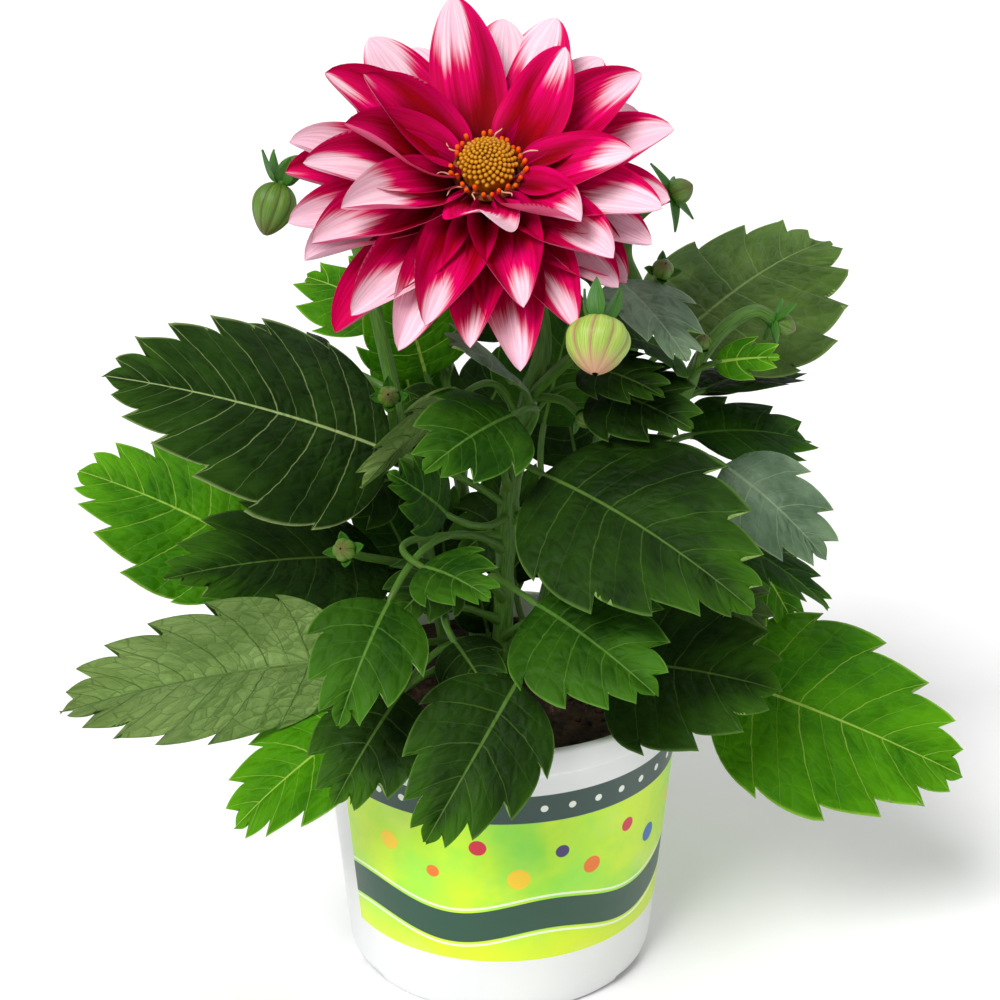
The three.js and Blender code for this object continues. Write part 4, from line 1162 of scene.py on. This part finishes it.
def make_calyx(paints):
    """The green cup under the petals, with two rows of bracts."""
    body = Body()
    cup = [(NECK_RADIUS * 0.9, CALYX_BOTTOM), (NECK_RADIUS, CALYX_BOTTOM + 0.4),
           (NECK_RADIUS + 1.5, CALYX_BOTTOM + 2), (NECK_RADIUS + 4.4, CALYX_BOTTOM + 4),
           (WHORL_DISC_RADIUS - 0.6, CALYX_TOP - 1.2), (WHORL_DISC_RADIUS - 0.1, CALYX_TOP)]
    flower_turned(body, cup, FLOWER_SIDES, 0, ridges=8, ridge_depth=0.03)
    for row, (count, *sizes) in enumerate(CALYX_BRACTS):
        for number in range(count):
            add_calyx_bract(body, (number + 0.5 * row) * 2 * math.pi / count, sizes)
    body.piece("calyx_bracts", [paints["bract"]], ["calyx"])


# The pot and its soil

WALL_FOOT_RADIUS = 50.6
WALL_SLOPE = 0.094
POT_SIDES = 144
CUT_START = -2
DRAIN_SIDES = 24
SOIL_SIDES = 120
SOIL_RINGS = 34
SOIL_WAVES = 26
CRUMBS = 420


def wall_radius(height):
    return WALL_FOOT_RADIUS + WALL_SLOPE * height


def inside_radius():
    """How far out the pot's floor goes before it turns up into the wall."""
    return wall_radius(POT_FLOOR) - POT_WALL - 1.5


def cutter(outline, top):
    """A closed prism from under the pot up to a height, used to cut the pot."""
    count = len(outline)
    points = [(x * MM, y * MM, height * MM) for height in (CUT_START, top) for x, y, _ in outline]
    faces = [list(range(count))[::-1], list(range(count, 2 * count))]
    faces += [[i, (i + 1) % count, count + (i + 1) % count, count + i] for i in range(count)]
    mesh = bpy.data.meshes.new("cutter")
    mesh.from_pydata(points, [], faces)
    return linked("cutter", mesh)


def pot_cutters():
    """Prisms for the channels through the foot ring and for the drain holes."""
    made = []
    inner = FOOT_RADIUS - FOOT_RING_WIDTH - 4
    outer = FOOT_RADIUS + 5
    half = NOTCH_WIDTH / 2
    corners = [(-half, -outer), (half, -outer), (half, -inner), (-half, -inner)]
    for turn in round_turns(NOTCH_COUNT):
        out, side = around(turn)
        made.append(cutter([out * x + side * y for x, y in corners], NOTCH_HEIGHT))
        centre = around(turn + math.pi / NOTCH_COUNT)[1] * DRAIN_CIRCLE_RADIUS
        circle = [centre + around(angle)[0] * DRAIN_RADIUS for angle in round_turns(DRAIN_SIDES)]
        made.append(cutter(circle, POT_FLOOR + 2))
    return made


def make_pot(paint):
    """The pot: a smooth turned shell with a rolled lip, a foot ring with channels, and drain holes."""
    lip_bottom = POT_HEIGHT - LIP_HEIGHT
    under_lip, rim = wall_radius(lip_bottom), wall_radius(POT_HEIGHT)
    ring_inner = FOOT_RADIUS - FOOT_RING_WIDTH
    inside = inside_radius()
    profile = [
        (CLOSED, 0), (CENTRE_PAD_RADIUS, 0), (CENTRE_PAD_RADIUS + 1, FOOT_LIFT), (ring_inner - 1, FOOT_LIFT),
        (ring_inner, 0), (FOOT_RADIUS - 0.4, 0), (FOOT_RADIUS + 0.2, 0.15), (FOOT_RADIUS + 1.4, 1.3),
        (FOOT_RADIUS + 2.3, 3), (wall_radius(5) - 0.15, 5),
        *[(wall_radius(height), height) for height in (8, 30, 60, lip_bottom - 0.6)],
        (under_lip + 0.1, lip_bottom - 0.1), (under_lip + LIP_PROUD - 0.25, lip_bottom + 0.3),
        (under_lip + LIP_PROUD, lip_bottom + 1), (rim + LIP_PROUD, POT_HEIGHT - 1.2),
        (rim + LIP_PROUD - 0.35, POT_HEIGHT - 0.35), (rim + 0.3, POT_HEIGHT),
        (rim - POT_WALL + 0.5, POT_HEIGHT), (rim - POT_WALL, POT_HEIGHT - 0.5),
        (wall_radius(60) - POT_WALL, 60), (inside, POT_FLOOR + 3), (inside - 3, POT_FLOOR),
        (CLOSED, POT_FLOOR),
    ]
    body = Body()
    body.patch(turned(profile, POT_SIDES), wrap=True, flip=True)
    made = body.piece("pot_shell", [paint], ["pot"])
    uncut = made.data
    cutters = pot_cutters()
    for tool in cutters:
        cut = made.modifiers.new("cut", "BOOLEAN")
        cut.operation = "DIFFERENCE"
        cut.solver = "EXACT"
        cut.object = tool
    graph = bpy.context.evaluated_depsgraph_get()
    made.data = bpy.data.meshes.new_from_object(made.evaluated_get(graph))
    made.modifiers.clear()
    bpy.data.meshes.remove(uncut)
    for tool in cutters:
        bpy.data.objects.remove(tool)


def add_crumb(body, random, top):
    """A crumb of soil lying anywhere on the mound."""
    turn, reach = random.rand() * 2 * math.pi, top * 0.97 * math.sqrt(random.rand())
    size = mixed(0.5, 1.9, random.rand() ** 2.5)
    out, _ = around(turn)
    centre = out * reach + UP * (SOIL_TOP + SOIL_MOUND * (1 - (reach / top) ** 2) + size * 0.2)
    steps = np.array([-1, -0.7, 0.1, 0.75, 1.0]) * size * mixed(0.5, 0.9, random.rand())
    axis = unit(random.rand(3) - 0.5)
    radii = np.array([0.02, 0.75, 1.0, 0.6, 0.02]) * size * (0.8 + 0.4 * random.rand(5))
    body.tube(centre + axis * steps[:, None], radii, 6)


def make_soil(paint):
    """Loose soil heaped a little in the middle, with crumbs lying on it."""
    body = Body()
    top = wall_radius(SOIL_TOP) - POT_WALL - GAP - 0.5
    side = inside_radius() - GAP
    bottom = POT_FLOOR + GAP
    random = np.random.RandomState(5)
    turns = round_turns(SOIL_SIDES)
    share = (np.linspace(0, 1, SOIL_RINGS) ** 0.8)[:, None]
    waves = [(random.rand() * 6.28, random.randint(1, 9), random.rand() * 6.28, random.rand() * 0.9 + 0.15)
             for _ in range(SOIL_WAVES)]
    bumps = sum(np.sin(turns * count + phase) * np.sin(share * 9 * rate + shift) * 0.16
                for phase, count, shift, rate in waves)
    grit = random.rand(SOIL_RINGS, SOIL_SIDES) * 0.9 - 0.45
    height = SOIL_TOP + SOIL_MOUND * (1 - share**2)
    height = height + (bumps + grit) * (1 - share**8) * eased(0.0, 0.12, share)
    radius = np.maximum(share * top, CLOSED)
    body.patch(gathered(radius * np.cos(turns), radius * np.sin(turns), height), wrap=True)
    wall = [(CLOSED, bottom), (side - 3, bottom), (side, bottom + 3), (top, SOIL_TOP)]
    body.patch(turned(wall, SOIL_SIDES), wrap=True, flip=True)
    for _ in range(CRUMBS):
        add_crumb(body, random, top)
    body.piece("potting_soil_surface", [paint], ["potting_soil"])


# The setting: a pale floor, soft light and the camera

FLOOR_HALF = 20.0
CAMERA_PLACE = (0, -0.7391, 0.4671)
CAMERA_TILT = math.radians(67.5)
CAMERA_LENS = 90
WORLD_STRENGTH = 0.4

# Each sun's direction, strength and angle in degrees.
SUNS = {"key_sun": ((-0.5, -0.8, 1.0), 2.9, 26), "back_sun": ((0.5, 0.6, 1.1), 0.8, 50)}


def make_floor():
    paint = Paint("studio_floor")
    grain = paint.noise(paint.object_place(), 40.0, 2.0)
    tint = paint.blend(grain, colour(246, 246, 246), colour(250, 250, 250))
    mesh = bpy.data.meshes.new("floor")
    corners = [(-FLOOR_HALF, -FLOOR_HALF, 0), (FLOOR_HALF, -FLOOR_HALF, 0)]
    corners += [(FLOOR_HALF, FLOOR_HALF, 0), (-FLOOR_HALF, FLOOR_HALF, 0)]
    mesh.from_pydata(corners, [], [(0, 1, 2, 3)])
    mesh.materials.append(paint.finish(tint, 0.8, specular=0.1))
    floor = linked("floor", mesh)


def make_light():
    world = bpy.data.worlds.new("studio")
    world.use_nodes = True
    background = world.node_tree.nodes["Background"]
    background.inputs["Color"].default_value = (1.0, 1.0, 1.0, 1.0)
    background.inputs["Strength"].default_value = WORLD_STRENGTH
    bpy.context.scene.world = world
    for name, ((x, y, z), strength, spread) in SUNS.items():
        lamp = bpy.data.lights.new(name, "SUN")
        lamp.energy = strength
        lamp.angle = math.radians(spread)
        made = linked(name, lamp)
        made.rotation_euler = (math.atan2(math.hypot(x, y), z), 0, math.atan2(x, -y))


def make_camera():
    camera = bpy.data.cameras.new("camera")
    camera.sensor_width = 36
    camera.lens = CAMERA_LENS
    camera.clip_start = 0.01
    camera.clip_end = 20
    made = linked("camera", camera)
    made.location = CAMERA_PLACE
    made.rotation_euler = (CAMERA_TILT, 0, 0)
    bpy.context.scene.camera = made
    bpy.context.scene.view_settings.view_transform = "Standard"


# The leaf kinds: five colours (deep, light, glow, vein and net), how strong the rib, side veins and net
# are, and the gloss. Dark, mid and bright are lit and shaded copies of one leaf colour: partly the leaves'
# own tone, partly painted shade for leaves deep inside the plant and painted light for leaves out in the
# light.
LEAF_KINDS = {
    "dark": (((14, 34, 4), (30, 58, 8), (56, 102, 12), (96, 132, 56), (44, 80, 18)),
             (0.6, 0.26, 0.08), 0.07),
    "cream": (((14, 34, 4), (30, 58, 10), (48, 84, 14), (158, 182, 112), (44, 80, 18)),
              (0.85, 0.4, 0.08), 0.07),
    "mid": (((20, 56, 4), (44, 84, 10), (62, 112, 18), (104, 150, 60), (60, 104, 30)),
            (0.6, 0.3, 0.1), 0.07),
    "bright": (((40, 96, 0), (66, 128, 2), (84, 148, 8), (156, 194, 76), (92, 150, 26)),
               (0.8, 0.5, 0.16), 0.07),
    "grey": (((44, 70, 20), (74, 100, 38), (84, 116, 44), (122, 148, 82), (86, 114, 54)),
             (0.6, 0.34, 0.2), 0.14),
    # Blue: green leaves with a painted bluish sheen, light glancing off their folds, put into the colour.
    "blue": (((64, 90, 62), (112, 136, 108), (96, 124, 82), (140, 162, 122), (100, 124, 94)),
             (0.5, 0.36, 0.16), 0.3),
}
UNDERSIDE = (((100, 130, 60), (132, 160, 90), (126, 152, 78), (84, 116, 46), (70, 102, 38)),
             (0.8, 0.85, 0.6), 0.15)


def make_paints():
    paints = {"top_" + kind: leaf_paint(f"leaf_{kind}_top", *looks) for kind, looks in LEAF_KINDS.items()}
    return paints | {
        "under": leaf_paint("leaf_underside", *UNDERSIDE, vein_rise=0.9),
        "stalk": stem_paint("stem_skin", (84, 128, 34), (48, 88, 18), (92, 74, 34)),
        "petal": petal_paint("petal_face", False),
        "petal_back": petal_paint("petal_back", True),
        "floret": floret_paint("floret_gold", (146, 84, 4), (204, 136, 14), (216, 160, 40), 900.0),
        "anther": floret_paint("anther_orange", (236, 76, 6), (250, 112, 14), (236, 60, 20), 1200.0),
        "corolla": floret_paint("floret_corolla", (120, 70, 30), (176, 110, 40), (200, 150, 70), 900.0),
        "stigma": floret_paint(
            "floret_stigma", (214, 150, 130), (236, 190, 160), (240, 210, 180), 1200.0),
        "bud_striped": bud_paint(
            "bud_striped_scales", (132, 164, 46), (176, 196, 96), (168, 96, 92), (196, 130, 118), 0.8),
        "bud_green": bud_paint(
            "bud_green_scales", (64, 104, 22), (104, 138, 44), (60, 44, 24), (92, 84, 34), 0.6),
        "bract": stem_paint("bract_skin", (66, 124, 28), (36, 84, 16), (60, 98, 26)),
    }


def main():
    paints = make_paints()
    make_pot(pot_paint())
    make_soil(soil_paint())
    make_stems(paints)
    make_leaves(paints)
    make_buds(paints)
    make_whorls(paints)
    make_eye(paints)
    make_calyx(paints)
    make_floor()
    make_light()
    make_camera()


main()
